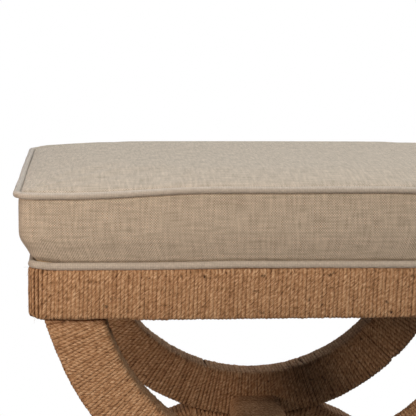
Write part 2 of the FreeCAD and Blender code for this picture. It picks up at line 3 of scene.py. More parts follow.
import json
import logging
import math
from dataclasses import dataclass
from enum import Enum
from typing import Callable, Optional, Sequence

import bpy
import numpy as np
from mathutils import Matrix, Vector

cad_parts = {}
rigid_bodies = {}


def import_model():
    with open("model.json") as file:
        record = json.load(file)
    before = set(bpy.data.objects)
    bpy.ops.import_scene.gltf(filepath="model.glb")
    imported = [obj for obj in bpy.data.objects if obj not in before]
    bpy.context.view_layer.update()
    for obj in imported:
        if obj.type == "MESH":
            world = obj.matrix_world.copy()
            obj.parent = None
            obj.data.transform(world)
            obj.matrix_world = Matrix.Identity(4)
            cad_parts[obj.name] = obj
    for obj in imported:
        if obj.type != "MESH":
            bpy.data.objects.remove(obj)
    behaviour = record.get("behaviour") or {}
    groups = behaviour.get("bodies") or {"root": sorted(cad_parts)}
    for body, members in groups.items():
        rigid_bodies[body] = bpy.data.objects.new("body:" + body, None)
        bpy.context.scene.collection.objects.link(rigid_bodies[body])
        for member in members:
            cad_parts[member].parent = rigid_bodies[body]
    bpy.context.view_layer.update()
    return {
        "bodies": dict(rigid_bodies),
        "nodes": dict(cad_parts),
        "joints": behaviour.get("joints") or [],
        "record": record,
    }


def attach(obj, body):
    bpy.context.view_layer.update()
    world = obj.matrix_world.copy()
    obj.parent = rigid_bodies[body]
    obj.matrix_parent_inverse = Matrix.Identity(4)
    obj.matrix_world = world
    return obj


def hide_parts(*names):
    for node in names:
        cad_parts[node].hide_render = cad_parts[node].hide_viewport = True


LOG = logging.getLogger("bench")
MM = 0.001
BODY = "root"
CLOTH_MAP = "cloth"
ROPE_MAP = "rope"
BAKE_MAP = "OFBake"
TINY = 1e-6
SHARP = math.radians(40)

Array = np.ndarray
Piece = bpy.types.Object
Node = bpy.types.Node
Socket = bpy.types.NodeSocket
Tree = bpy.types.NodeTree
Pair = tuple[float, float]
Spot = tuple[float, float, float]
Placer = Callable[[Array, Array], Array]


@dataclass(frozen=True)
class Bench:
    """Driving sizes of the bench, as in the CAD model, and what follows from them."""

    leg_height: float = 377 * MM
    leg_inset: float = 17 * MM
    waist_dip: float = 12 * MM
    limb_depth: float = 54.5 * MM
    limb_width: float = 42 * MM
    limb_edge: float = 5 * MM
    frame_setback: float = 12 * MM
    glide: float = 4 * MM
    apron_width: float = 517 * MM
    apron_depth: float = 384 * MM
    apron_height: float = 50 * MM
    apron_corner: float = 14 * MM
    apron_edge: float = 4 * MM
    wall: float = 28 * MM
    block: float = 58 * MM
    stretcher_width: float = 62 * MM
    stretcher_height: float = 32 * MM
    board: float = 12 * MM
    seat_width: float = 540 * MM
    seat_depth: float = 400 * MM
    seat_corner: float = 20 * MM
    foot_welt: float = 3.7 * MM
    top_welt: float = 3.25 * MM
    boxing: float = 64.3 * MM

    @property
    def apron_top(self) -> float:
        """Height of the apron's upper edge."""
        return self.leg_height + self.apron_height

    @property
    def waist(self) -> float:
        """Height of the frames' waist."""
        return self.leg_height / 2

    @property
    def arc_outer(self) -> float:
        """Outer radius of an arc that ends at the leg tops and dips past the waist.

        Returns:
            The radius in metres.
        """
        rise = self.waist + self.waist_dip
        half = self.apron_width / 2 - self.leg_inset
        return (half ** 2 + rise ** 2) / (2 * rise)

    @property
    def arc_inner(self) -> float:
        """Inner radius of an arc."""
        return self.arc_outer - self.limb_depth

    @property
    def upper_centre(self) -> float:
        """Height of the upper arcs' centre."""
        return self.waist - self.waist_dip + self.arc_outer

    @property
    def lower_centre(self) -> float:
        """Height of the lower arches' centre."""
        return 2 * self.waist - self.upper_centre

    @property
    def crotch(self) -> float:
        """Angle from the middle of a frame to where its two arcs part."""
        return math.acos((self.arc_outer - self.waist_dip) / self.arc_outer)

    @property
    def frame_y(self) -> float:
        """Distance from the middle of the bench to the middle of a frame."""
        return self.apron_depth / 2 - self.frame_setback - self.limb_width / 2

    @property
    def foot_welt_z(self) -> float:
        """Height of the middle of the lower welt."""
        return self.apron_top + self.foot_welt

    @property
    def top_welt_z(self) -> float:
        """Height of the middle of the top welt."""
        return self.apron_top + 2 * self.foot_welt + self.boxing


BENCH = Bench()


def linear(colour: str) -> tuple[float, float, float, float]:
    """Turns an sRGB hex colour into linear RGBA.

    Args:
        colour: Six hex digits with a leading hash.

    Returns:
        Red, green, blue and an alpha of 1.
    """
    shares = [int(colour[start:start + 2], 16) / 255 for start in (1, 3, 5)]
    flat = [share / 12.92 if share <= 0.04045 else ((share + 0.055) / 1.055) ** 2.4 for share in shares]
    return flat[0], flat[1], flat[2], 1.0


def add_node(tree: Tree, kind: str, links: Optional[dict] = None, **settings: object) -> Node:
    """Adds a node with its settings and what goes into its sockets.

    Args:
        tree: Node tree that takes the node.
        kind: Blender's name for the node's type.
        links: Socket name or index to a source socket, a node whose first output it is, or a constant.
        **settings: Properties of the node.

    Returns:
        The new node.
    """
    node = tree.nodes.new(kind)
    for name, setting in settings.items():
        setattr(node, name, setting)
    for socket, source in (links or {}).items():
        if isinstance(source, Node):
            source = source.outputs[0]
        if isinstance(source, Socket):
            tree.links.new(source, node.inputs[socket])
        else:
            node.inputs[socket].default_value = source
    return node


def deselect() -> None:
    """Leaves nothing selected."""
    bpy.ops.object.select_all(action="DESELECT")


def make_active(piece: Piece) -> None:
    """Selects one piece alone and makes it active.

    Args:
        piece: Piece to work on.
    """
    deselect()
    piece.select_set(True)
    bpy.context.view_layer.objects.active = piece


def spots_of(piece: Piece) -> Array:
    """Reads where a piece's vertices are.

    Args:
        piece: Mesh object.

    Returns:
        One row of x, y and z to a vertex.
    """
    spots = np.empty(len(piece.data.vertices) * 3)
    piece.data.vertices.foreach_get("co", spots)
    return spots.reshape(-1, 3)


def apply_modifier(piece: Piece, kind: str, **settings: object) -> None:
    """Adds a modifier to the active piece and applies it.

    Args:
        piece: The active piece.
        kind: Blender's name for the modifier's type.
        **settings: Properties of the modifier.
    """
    modifier = piece.modifiers.new(kind.lower(), kind)
    for name, setting in settings.items():
        setattr(modifier, name, setting)
    bpy.ops.object.modifier_apply(modifier=modifier.name)


def show_map(piece: Piece, name: str) -> None:
    """Makes one of a piece's maps the one that it is drawn with."""
    piece.data.uv_layers.active = piece.data.uv_layers[name]
    piece.data.uv_layers[name].active_render = True


def finish_piece(piece: Piece, look: "Finish", nodes: tuple[str, ...]) -> None:
    """Gives a piece its material, its body and the CAD nodes that it stands for.

    Args:
        piece: Finished mesh object.
        look: Finish of the piece.
        nodes: CAD nodes that the piece replaces.
    """
    piece.data.materials.clear()
    piece.data.materials.append(look.material())
    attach(piece, BODY)
    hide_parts(*nodes)
    LOG.info("%s: %d faces for %s", piece.name, len(piece.data.polygons), ", ".join(nodes))


@dataclass(frozen=True)
class Finish:
    """A surface that is named for its real material."""

    name: str

    def draw(self, tree: Tree) -> None:
        """Adds the finish's nodes to a material's tree."""
        raise NotImplementedError

    def material(self) -> bpy.types.Material:
        """Makes the material the first time and finds it after that.

        Returns:
            The finish's material.
        """
        known = bpy.data.materials.get(self.name)
        if known:
            return known
        made = bpy.data.materials.new(self.name)
        made.use_nodes = True
        self.draw(made.node_tree)
        return made

    @staticmethod
    def join(tree: Tree, colour: Node, bump: Node, amounts: dict[str, float]) -> None:
        """Joins what is drawn to the shader.

        Args:
            tree: The material's nodes.
            colour: Mix of two colours that gives the base colour.
            bump: Relief of the surface.
            amounts: The shader's other inputs by name.
        """
        shader = tree.nodes["Principled BSDF"]
        tree.links.new(colour.outputs[2], shader.inputs["Base Color"])
        tree.links.new(bump.outputs[0], shader.inputs["Normal"])
        for name, amount in amounts.items():
            shader.inputs[name].default_value = amount


@dataclass(frozen=True)
class JuteRope(Finish):
    """Four-ply jute rope: slanting plies, dry pale fibres, brown painted shade in the hollows and a few dark
    flecks of bark.
    """

    pale: str = "#E0BE98"
    middle: str = "#AB825C"
    # The dark end of the colours serves for dark fibres and for the painted shade in the hollows.
    dark_fibre_and_hollow_shade: str = "#5A3A24"
    bark: str = "#3A2012"
    plies: int = 4
    lay: float = 17.0 * MM
    fibre: float = 5.0 * MM
    fibres_around: float = 13.0
    patch: float = 4.0 * MM
    drift: float = 70.0 * MM
    # Painted shade down a strand's sides: where round the strand it sets in, and how much it darkens.
    groove_shade_band: Pair = (-0.95, -0.55)
    groove_shade_tone: float = -0.42
    turn_tone: float = 0.3
    # How much painted shade the ply relief puts between the plies.
    ply_shade_tone: float = 0.2
    fibre_tone: float = 1.9
    patch_tone: float = 1.2
    tones: Pair = (1.23, 2.31)
    fleck_size: float = 0.55
    fleck_edge: Pair = (0.65, 0.77)
    ply_height: float = 0.3
    relief: float = 0.75 * MM

    def draw(self, tree: Tree) -> None:
        """Draws plies and fibres on the map along and around the rope.

        Args:
            tree: Takes the nodes.
        """
        rope_map = add_node(tree, "ShaderNodeUVMap", uv_map=ROPE_MAP)
        split = add_node(tree, "ShaderNodeSeparateXYZ", {0: rope_map})
        along, around = split.outputs[0], split.outputs[1]
        turn = add_node(tree, "ShaderNodeMath", {0: along, 1: -1 / self.lay, 2: around},
                        operation="MULTIPLY_ADD")
        angle = add_node(tree, "ShaderNodeMath", {0: turn, 1: self.plies * math.pi}, operation="MULTIPLY")
        wave = add_node(tree, "ShaderNodeMath", {0: angle}, operation="COSINE")
        ply = add_node(tree, "ShaderNodeMath", {0: wave}, operation="ABSOLUTE")
        # Painted shade: the colour is darkened down a strand's two sides, where it meets its neighbours and
        # shade falls.
        circle = add_node(tree, "ShaderNodeMath", {0: around, 1: 2 * math.pi}, operation="MULTIPLY")
        outside = add_node(tree, "ShaderNodeMath", {0: circle}, operation="COSINE")
        tone = add_node(tree, "ShaderNodeMapRange", {"Value": outside, "From Min": self.groove_shade_band[0],
                                                     "From Max": self.groove_shade_band[1], "To Max": self.groove_shade_tone})
        down = add_node(tree, "ShaderNodeMath", {0: along, 1: 1 / self.fibre}, operation="MULTIPLY")
        across = add_node(tree, "ShaderNodeMath", {0: turn, 1: self.fibres_around}, operation="MULTIPLY")
        stretched = add_node(tree, "ShaderNodeCombineXYZ", {0: down, 1: across})
        fibres = add_node(tree, "ShaderNodeTexNoise", {"Vector": stretched, "Scale": 1.0, "Detail": 3.0,
                                                       "Roughness": 0.6})
        place = add_node(tree, "ShaderNodeTexCoord").outputs["Object"]
        patches = add_node(tree, "ShaderNodeTexNoise", {"Vector": place, "Scale": 1 / self.patch,
                                                        "Detail": 4.0, "Roughness": 0.65})
        # One turn is a little paler or browner than the next.
        reel = add_node(tree, "ShaderNodeMath", {0: along, 1: 1 / self.drift}, operation="MULTIPLY")
        turns = add_node(tree, "ShaderNodeTexNoise", {"W": reel, "Scale": 1.0, "Detail": 1.0},
                         noise_dimensions="1D")
        # Painted shade: the ply relief also darkens the colour between the plies; the turns, fibres and
        # patches are the rope's own tones.
        for amount, weight in ((turns, self.turn_tone), (ply, self.ply_shade_tone), (fibres, self.fibre_tone),
                               (patches, self.patch_tone)):
            tone = add_node(tree, "ShaderNodeMath", {0: amount, 1: weight, 2: tone}, operation="MULTIPLY_ADD")
        level = add_node(tree, "ShaderNodeMapRange", {"Value": tone, "From Min": self.tones[0],
                                                      "From Max": self.tones[1]})
        colours = add_node(tree, "ShaderNodeValToRGB", {0: level})
        ramp = colours.color_ramp
        ramp.elements[0].color = linear(self.dark_fibre_and_hollow_shade)
        ramp.elements[1].color = linear(self.pale)
        ramp.elements.new(0.5).color = linear(self.middle)
        flecks = add_node(tree, "ShaderNodeTexNoise", {"Vector": place, "Scale": self.fleck_size / self.patch,
                                                       "Detail": 3.0})
        dark = add_node(tree, "ShaderNodeMapRange", {"Value": flecks, "From Min": self.fleck_edge[0],
                                                     "From Max": self.fleck_edge[1]})
        mixed = add_node(tree, "ShaderNodeMix", {"Factor": dark, 6: colours, 7: linear(self.bark)},
                         data_type="RGBA")
        height = add_node(tree, "ShaderNodeMath", {0: ply, 1: self.ply_height, 2: fibres},
                          operation="MULTIPLY_ADD")
        bump = add_node(tree, "ShaderNodeBump", {"Height": height, "Distance": self.relief, "Strength": 0.8})
        self.join(tree, mixed, bump, {"Roughness": 0.85, "Specular IOR Level": 0.25})


@dataclass(frozen=True)
class Linen(Finish):
    """Undyed plain-weave linen: slubby threads over and under, dry and without gloss."""

    pale: str = "#E8D8C2"
    shade: str = "#8C7F69"
    # The real threads are about 0.9 mm apart. They are drawn coarser so that the weave shows.
    thread: float = 1.2 * MM
    slub: float = 20.0 * MM
    slub_width: float = 0.45
    crossing: float = 0.15
    check_tone: float = 0.7
    slub_tone: float = 2.2
    tones: Pair = (1.25, 2.9)
    relief: float = 0.3 * MM

    def draw(self, tree: Tree) -> None:
        """Draws warp and weft on the cloth's own map, which is in metres.

        Args:
            tree: Takes the nodes.
        """
        cloth_map = add_node(tree, "ShaderNodeUVMap", uv_map=CLOTH_MAP)
        split = add_node(tree, "ShaderNodeSeparateXYZ", {0: cloth_map})
        waves, ridges, slubs = [], [], []
        for way in (0, 1):
            angle = add_node(tree, "ShaderNodeMath", {0: split.outputs[way], 1: math.pi / self.thread},
                             operation="MULTIPLY")
            waves.append(add_node(tree, "ShaderNodeMath", {0: angle}, operation="SINE"))
            ridges.append(add_node(tree, "ShaderNodeMath", {0: waves[way]}, operation="ABSOLUTE"))
            stretch = [1 / self.slub, 1 / self.slub, 1.0]
            stretch[way] = self.slub_width / self.thread
            spread = add_node(tree, "ShaderNodeMapping", {0: cloth_map, "Scale": stretch})
            slub = add_node(tree, "ShaderNodeTexNoise", {"Vector": spread, "Scale": 1.0, "Detail": 2.0})
            slubs.append(slub)
        crossed = add_node(tree, "ShaderNodeMath", {0: waves[0], 1: waves[1]}, operation="MULTIPLY")
        over = add_node(tree, "ShaderNodeMapRange", {"Value": crossed, "From Min": -self.crossing,
                                                     "From Max": self.crossing})
        height = add_node(tree, "ShaderNodeMix", {"Factor": over, 2: ridges[0], 3: ridges[1]})
        tint = add_node(tree, "ShaderNodeMix", {"Factor": over, 2: slubs[0], 3: slubs[1]})
        # Painted shade: the colour follows the thread relief and is darker between the threads; which thread
        # lies over gives the cloth's own check.
        checks_and_thread_shade = add_node(tree, "ShaderNodeMath", {0: over, 1: self.check_tone, 2: height},
                          operation="MULTIPLY_ADD")
        tone = add_node(tree, "ShaderNodeMath", {0: tint, 1: self.slub_tone, 2: checks_and_thread_shade},
                        operation="MULTIPLY_ADD")
        level = add_node(tree, "ShaderNodeMapRange", {"Value": tone, "From Min": self.tones[0],
                                                      "From Max": self.tones[1]})
        mixed = add_node(tree, "ShaderNodeMix", {"Factor": level, 6: linear(self.shade),
                                                 7: linear(self.pale)}, data_type="RGBA")
        bump = add_node(tree, "ShaderNodeBump", {"Height": height, "Distance": self.relief, "Strength": 0.8})
        self.join(tree, mixed, bump, {"Roughness": 0.9, "Specular IOR Level": 0.2, "Sheen Weight": 0.15,
                                      "Sheen Roughness": 0.5})


@dataclass(frozen=True)
class Timber(Finish):
    """Sawn wood: long streaks of grain along one axis, matt, with fine pores."""

    early: str = "#C9A578"
    late: str = "#9A7348"
    grain: float = 6.0 * MM
    run: Spot = (0.06, 1.0, 1.0)
    pore_scale: float = 9.0
    pore_tone: float = 0.35
    tones: Pair = (0.4, 0.95)
    relief: float = 0.15 * MM

    def draw(self, tree: Tree) -> None:
        """Draws growth rings and pores, stretched along the grain.

        Args:
            tree: Takes the nodes.
        """
        place = add_node(tree, "ShaderNodeTexCoord").outputs["Object"]
        stretch = [share / self.grain for share in self.run]
        spread = add_node(tree, "ShaderNodeMapping", {0: place, "Scale": stretch})
        rings = add_node(tree, "ShaderNodeTexNoise", {"Vector": spread, "Scale": 1.0, "Detail": 4.0,
                                                      "Distortion": 0.6})
        pores = add_node(tree, "ShaderNodeTexNoise", {"Vector": spread, "Scale": self.pore_scale,
                                                      "Detail": 2.0})
        tone = add_node(tree, "ShaderNodeMath", {0: pores, 1: self.pore_tone, 2: rings},
                        operation="MULTIPLY_ADD")
        level = add_node(tree, "ShaderNodeMapRange", {"Value": tone, "From Min": self.tones[0],
                                                      "From Max": self.tones[1]})
        mixed = add_node(tree, "ShaderNodeMix", {"Factor": level, 6: linear(self.late),
                                                 7: linear(self.early)}, data_type="RGBA")
        bump = add_node(tree, "ShaderNodeBump", {"Height": tone, "Distance": self.relief, "Strength": 0.5})
        self.join(tree, mixed, bump, {"Roughness": 0.65})


@dataclass(frozen=True)
class Speckled(Finish):
    """A fine-grained surface with one colour that varies a little: foam, felt, nylon or zinc plate."""

    light: str
    dark: str
    grit: float
    roughness: float
    metallic: float = 0.0
    relief: float = 0.1 * MM
    drift_scale: float = 0.08
    drift_tone: float = 0.6
    tones: Pair = (0.5, 1.1)

    def draw(self, tree: Tree) -> None:
        """Draws a fine grit over a slow drift of tone.

        Args:
            tree: Takes the nodes.
        """
        place = add_node(tree, "ShaderNodeTexCoord").outputs["Object"]
        grit = add_node(tree, "ShaderNodeTexNoise", {"Vector": place, "Scale": 1 / self.grit, "Detail": 3.0})
        drift = add_node(tree, "ShaderNodeTexNoise", {"Vector": place, "Scale": self.drift_scale / self.grit,
                                                      "Detail": 2.0})
        tone = add_node(tree, "ShaderNodeMath", {0: drift, 1: self.drift_tone, 2: grit},
                        operation="MULTIPLY_ADD")
        level = add_node(tree, "ShaderNodeMapRange", {"Value": tone, "From Min": self.tones[0],
                                                      "From Max": self.tones[1]})
        mixed = add_node(tree, "ShaderNodeMix", {"Factor": level, 6: linear(self.dark),
                                                 7: linear(self.light)}, data_type="RGBA")
        bump = add_node(tree, "ShaderNodeBump", {"Height": grit, "Distance": self.relief, "Strength": 0.5})
        self.join(tree, mixed, bump, {"Roughness": self.roughness, "Metallic": self.metallic})


class Look(Enum):
    """Every finish on the bench."""

    # Warm brown and quite matt, with fine slanting lines that carry painted shade between the plies, and
    # painted shade in the seam between one turn and the next.
    ROPE = JuteRope("jute rope")
    # Pale and dry, with thick and thin threads that give a soft check, and painted shade between the threads.
    LINEN = Linen("washed linen")
    # The same cloth cut on the bias: its threads run aslant, so the cord looks smooth. Its paler tones are
    # painted light on the round cord.
    WELT = Linen("bias-cut linen welt", pale="#DACFBF", shade="#AA9F8F", thread=1.1 * MM)
    # Creamy and full of small pores, which leave it without any gloss.
    FOAM = Speckled("polyurethane foam", "#E6DCC2", "#CDBF9F", 1.2 * MM, 0.95, relief=0.4 * MM)
    # Nearly black and fibrous, so the underside reads as a shadow.
    DUST_CLOTH = Speckled("spun black dust cloth", "#2B2A29", "#171615", 0.6 * MM, 0.95)
    # Yellow-brown with long open grain.
    RAIL = Timber("sawn mango wood")
    # Paler and closer in the grain than the rails.
    DOWEL = Timber("turned beech dowel", early="#D8BC93", late="#B8946A", grain=3.0 * MM)
    # Light and broad in the grain, as a peeled face is.
    PLYWOOD = Timber("poplar plywood", early="#D6BE98", late="#B49770", grain=9.0 * MM)
    # Grey with a dull metal shine.
    STEEL = Speckled("zinc-plated steel", "#B9BBBD", "#8C8F92", 2.0 * MM, 0.38, metallic=1.0,
                     relief=0.03 * MM)
    # Dark brown with a slight sheen.
    NYLON = Speckled("moulded brown nylon", "#4A3A2E", "#33271E", 1.0 * MM, 0.5, relief=0.03 * MM)


CAD_LOOKS = {
    "wood": Look.RAIL,
    "plywood": Look.PLYWOOD,
    "dowel": Look.DOWEL,
    "steel": Look.STEEL,
    "nylon": Look.NYLON,
}


def unit(vectors: Array) -> Array:
    """Rows scaled to length 1."""
    return vectors / np.linalg.norm(vectors, axis=1, keepdims=True)


class TubeBundle:
    """Tubes that share one mesh, with a map along and around each of them."""

    BAKE_SLACK = 1.1
    BAKE_MARGIN = 0.06

    def __init__(self) -> None:
        """Starts an empty bundle."""
        self.points: list[Array] = []
        self.faces: list[list[int]] = []
        self.spans: list[list[Spot]] = []
        self.count = 0
        self.length = 0.0

    def lay(self, centres: Array, outward: Array, radius: Array, sides: int,
            breadth: Optional[Array] = None, twist: Optional[Array] = None,
            closed: bool = False) -> None:
        """Adds one tube.

        Args:
            centres: Points along the middle of the tube.
            outward: Direction at each point that faces away from what the tube lies on.
            radius: Half thickness at each point.
            sides: Points round the tube.
            breadth: Half breadth at each point, for a tube that is pressed flat.
            twist: How far the map runs ahead at each point, for a rope of uneven lay.
            closed: Whether the end joins the start.
        """
        breadth = radius if breadth is None else breadth
        if closed:
            run = np.roll(centres, -1, axis=0) - np.roll(centres, 1, axis=0)
        else:
            run = np.gradient(centres, axis=0)
        run = unit(run)
        outward = unit(outward - (outward * run).sum(1, keepdims=True) * run)
        sideways = np.cross(run, outward)
        angles = np.linspace(math.pi, 3 * math.pi, sides, endpoint=False)
        rings = (centres[:, None] + (outward * radius[:, None])[:, None] * np.cos(angles)[None, :, None]
                 + (sideways * breadth[:, None])[:, None] * np.sin(angles)[None, :, None])
        self.points.append(rings.reshape(-1, 3))
        steps = np.linalg.norm(np.diff(centres, axis=0, append=centres[:1]), axis=1)
        places = self.length + np.concatenate([[0.0], np.cumsum(steps)])
        total = len(centres)
        ahead = np.zeros(total + 1)
        if twist is not None:
            ahead[:total] = twist
        last = total if closed else total - 1
        ring, side = (axis.ravel() for axis in np.mgrid[:last, :sides])
        corners = ((ring, side), (ring, side + 1), (ring + 1, side + 1), (ring + 1, side))
        faces = [self.count + row % total * sides + column % sides for row, column in corners]
        self.faces += np.stack(faces, axis=1).tolist()
        spans = [np.column_stack([places[row], column / sides, ahead[row]]) for row, column in corners]
        self.spans += np.stack(spans, axis=1).tolist()
        if not closed:
            for end, order in ((0, -1), (last, 1)):
                self.faces.append([self.count + end * sides + corner for corner in range(sides)][::order])
                self.spans.append([(places[end], 0.5, 0.0)] * sides)
        self.count += total * sides
        self.length = float(places[last])

    def build(self, name: str, girth: float, map_name: str) -> Piece:
        """Makes the bundle's object.

        Args:
            name: Name of the piece.
            girth: Length round a tube, which sets how the bake map is folded.
            map_name: Name of the map along and around the tubes.

        Returns:
            The new object, linked and smooth.
        """
        mesh = bpy.data.meshes.new(name)
        mesh.from_pydata(np.concatenate(self.points).tolist(), [], self.faces)
        along, around, ahead = np.array([corner for face in self.spans for corner in face]).T
        starts = np.repeat([min(corner[0] for corner in face) for face in self.spans],
                           [len(face) for face in self.spans])
        rows = max(1, round(math.sqrt(self.length / girth)))
        stride = self.length / rows
        row = np.minimum(np.floor(starts / stride), rows - 1)
        inside = 1 - 2 * self.BAKE_MARGIN
        folded = ((along - row * stride) / (self.BAKE_SLACK * stride),
                  (row + self.BAKE_MARGIN + inside * around) / rows)
        for layer, places in ((map_name, (along + ahead, around)), (BAKE_MAP, folded)):
            made = mesh.uv_layers.new(name=layer)
            made.data.foreach_set("uv", np.column_stack(places).astype(np.float32).ravel())
        mesh.shade_smooth()
        mesh.update()
        piece = bpy.data.objects.new(name, mesh)
        show_map(piece, map_name)
        bpy.context.scene.collection.objects.link(piece)
        return piece


class Trace:
    """A line of straights and bends in a plane, with the outward direction at each of its points."""

    def __init__(self) -> None:
        """Starts with no points."""
        self.rows: list[tuple[float, float, float, float]] = []

    def straight(self, start: Pair, end: Pair, out: Pair, shares: Sequence[float]) -> None:
        """Adds points on a straight.

        Args:
            start: Where the straight starts.
            end: Where it ends.
            out: Outward direction.
            shares: Where the points are, as shares of the straight.
        """
        for share in shares:
            spot = start[0] + (end[0] - start[0]) * share, start[1] + (end[1] - start[1]) * share
            self.rows.append((*spot, *out))

    def bend(self, middle: Pair, radius: float, start: float, angles: Sequence[float]) -> None:
        """Adds points on a bend.

        Args:
            middle: Middle of the bend.
            radius: Its radius.
            start: Direction of its first point from the middle.
            angles: Angles of the points from the first.
        """
        for angle in angles:
            out = math.cos(start + angle), math.sin(start + angle)
            self.rows.append((middle[0] + radius * out[0], middle[1] + radius * out[1], *out))


def go_round(low: float, high: float, half_width: float, corner: float, shares: Sequence[Sequence[float]],
             angles: Sequence[float]) -> Array:
    """Goes once round a rounded rectangle from the middle of its low side.

    Args:
        low: Low limit of the first coordinate.
        high: High limit of the first coordinate.
        half_width: Half the size along the second coordinate.
        corner: Corner radius.
        shares: Where the points are on the four sides, and on the low side once more.
        angles: Where the points are on each corner.

    Returns:
        Points and outward directions, one row each.
    """
    flat, near, far = half_width - corner, low + corner, high - corner
    sides = (((low, flat), (low, -flat), (-1, 0)),
             ((near, -half_width), (far, -half_width), (0, -1)),
             ((high, -flat), (high, flat), (1, 0)),
             ((far, half_width), (near, half_width), (0, 1)))
    middles = ((near, -flat), (far, -flat), (far, flat), (near, flat))
    trace = Trace()
    for quarter, (side, middle) in enumerate(zip(sides, middles)):
        trace.straight(*side, shares[quarter])
        trace.bend(middle, corner, (quarter + 2) % 4 * math.pi / 2, angles)
    trace.straight(*sides[0], shares[4])
    return np.array(trace.rows)


@dataclass
class Loop:
    """One turn round a section: points, outward directions and the share of the way round."""

    points: Array
    outward: Array
    share: Array


def rounded_loop(low: float, high: float, half_width: float, corner: float) -> Loop:
    """Lays a turn round a section.

    Args:
        low: Low limit of the first coordinate.
        high: High limit of the first coordinate.
        half_width: Half the size along the second coordinate.
        corner: Corner radius.

    Returns:
        The loop, with three points to a corner and two inside each side.
    """
    # A corner leaves some of the straight on every side.
    corner = min(corner, 0.45 * (high - low), 0.9 * half_width)
    thirds = (0.33, 0.67)
    eighths = [step * math.pi / 4 for step in range(3)]
    rows = go_round(low, high, half_width, corner, ((0.5, 0.75), thirds, thirds, thirds, (0.25,)), eighths)
    steps = np.linalg.norm(np.diff(rows[:, :2], axis=0, append=rows[:1, :2]), axis=1)
    share = np.concatenate([[0.0], np.cumsum(steps)[:-1]]) / steps.sum()
    return Loop(rows[:, :2], rows[:, 2:], share)


@dataclass
class Lap:
    """Where two lengths of a second layer of rope meet on the outside of a curve, with a notch."""

    share: float
    height: float


@dataclass
class Rope:
    """The rope itself and how neatly it is wound."""

    radius: float = 2.0 * MM
    pitch: float = 3.86 * MM
    sides: int = 8
    # How far turns stray along the core, in turns, and off it; how uneven the strand is.
    slip: float = 0.075
    lift: float = 0.2 * MM
    unevenness: float = 0.05
    spread: float = 0.77
    uneven_lay: float = 2.2 * MM
    rough: float = 0.35
    # The ends of a winding are tucked in over this share of a turn.
    end_turn: float = 0.12
    broadest: float = 1.5
    lap_turns: float = 1.5
    lap_side: float = 0.7
    fibre_radius: float = 0.11 * MM
    fibre_swing: float = 0.7
    fibre_reach: Pair = (3 * MM, 9 * MM)
    fibre_stand: Pair = (0.2 * MM, 1.2 * MM)
    fibre_curl: float = 1.5 * MM
    fibre_root: float = 0.9

    def turns(self, length: float) -> int:
        """How many turns lie side by side in a length."""
        return max(2, round(length / self.pitch))

    def wind(self, name: str, turns: int, loop_at: Callable[[float], Loop], place: Placer, seed: int,
             fibres: int, lap: Optional[Lap] = None) -> None:
        """Winds one length of rope on a core and frays it a little.

        Args:
            name: CAD node that the winding replaces.
            turns: Number of turns.
            loop_at: Gives the turn's loop at a share of the way along.
            place: Puts section points at shares of the way along into the row frame.
            seed: Seed of this winding's unevenness.
            fibres: Number of loose fibres.
            lap: Where the lengths of a second layer meet, if there is one.
        """
        chance = np.random.default_rng(seed)
        knots = np.arange(turns + 1)
        slips = chance.normal(0, self.slip, turns + 1)
        lifts = chance.normal(0, self.lift, turns + 1)
        swells = chance.normal(0, self.unevenness, turns + 1)
        centres, outward, radius = [], [], []
        for turn in range(turns):
            loop = loop_at((turn + 0.5) / turns)
            at = turn + loop.share
            rough = chance.normal(0, self.rough, (3, len(at)))
            shift = np.interp(at, knots, slips) + rough[0] * self.slip
            share = np.clip((at + shift) / turns, 0, 1)
            raised = np.interp(at, knots, lifts) + rough[1] * self.lift
            ends = np.minimum(at, turns - at)
            raised = raised - self.radius * np.clip(1 - ends / self.end_turn, 0, 1)
            if lap:
                apart = np.clip(np.abs(share - lap.share) * turns / self.lap_turns, 0, 1)
                outside = np.interp(loop.outward[:, 0], (-1, 0, 1), (0, self.lap_side, 1))
                raised = raised + lap.height * apart * outside
            points = loop.points + loop.outward * raised[:, None]
            centre = place(points, share)
            centres.append(centre)
            outward.append(place(points + loop.outward * self.radius, share) - centre)
            radius.append(self.radius * (1 + np.interp(at, knots, swells) + rough[2] * self.unevenness))
        apart = np.linalg.norm(np.diff(np.array(centres), axis=0), axis=2)
        apart = np.concatenate([apart[:1], apart]).ravel()
        laid = np.concatenate(centres)
        faced = unit(np.concatenate(outward))
        thick = np.concatenate(radius)
        broad = np.clip(apart * self.spread, self.radius, self.broadest * self.radius)
        twist = np.cumsum(chance.normal(0, self.uneven_lay, len(laid)))
        bundle = TubeBundle()
        bundle.lay(laid, faced, thick, self.sides, breadth=broad, twist=twist)
        self.fray(bundle, laid, faced, chance, fibres)
        self.piece(bundle, name)

    def fray(self, bundle: TubeBundle, laid: Array, faced: Array, chance: np.random.Generator,
             fibres: int) -> None:
        """Adds loose fibres that stand off the rope.

        Args:
            bundle: Takes the fibres.
            laid: Points along the rope.
            faced: Outward direction at each point.
            chance: Source of their places.
            fibres: Number of fibres.
        """
        run = unit(np.gradient(laid, axis=0))
        shares = np.array([0.0, 0.33, 0.67, 1.0])
        thin = self.fibre_radius * np.array([1.0, 0.9, 0.75, 0.4])
        for start in chance.integers(1, len(laid) - 1, fibres):
            aside = np.cross(run[start], faced[start])
            heading = run[start] * chance.choice((-1, 1)) + aside * chance.normal(0, self.fibre_swing)
            heading = heading / np.linalg.norm(heading)
            reach = chance.uniform(*self.fibre_reach)
            stand = chance.uniform(*self.fibre_stand)
            curl = aside * chance.normal(0, self.fibre_curl)
            root = laid[start] + faced[start] * self.radius * self.fibre_root
            spots = (root + np.outer(shares * reach, heading)
                     + np.outer(shares ** 2 * stand, faced[start]) + np.outer(shares ** 2, curl))
            bundle.lay(spots, np.tile(faced[start], (len(shares), 1)), thin, 3)

    def piece(self, bundle: TubeBundle, name: str) -> None:
        """Makes the piece of the winding that a CAD node stands for."""
        made = bundle.build(name.replace("wrap", "rope"), 2 * math.pi * self.radius, ROPE_MAP)
        finish_piece(made, Look.ROPE.value, (name,))


class Facing(Enum):
    """The sides of the bench, with the quarter turns from the front."""

    FRONT = 0
    RIGHT = 1
    BACK = 2
    LEFT = 3


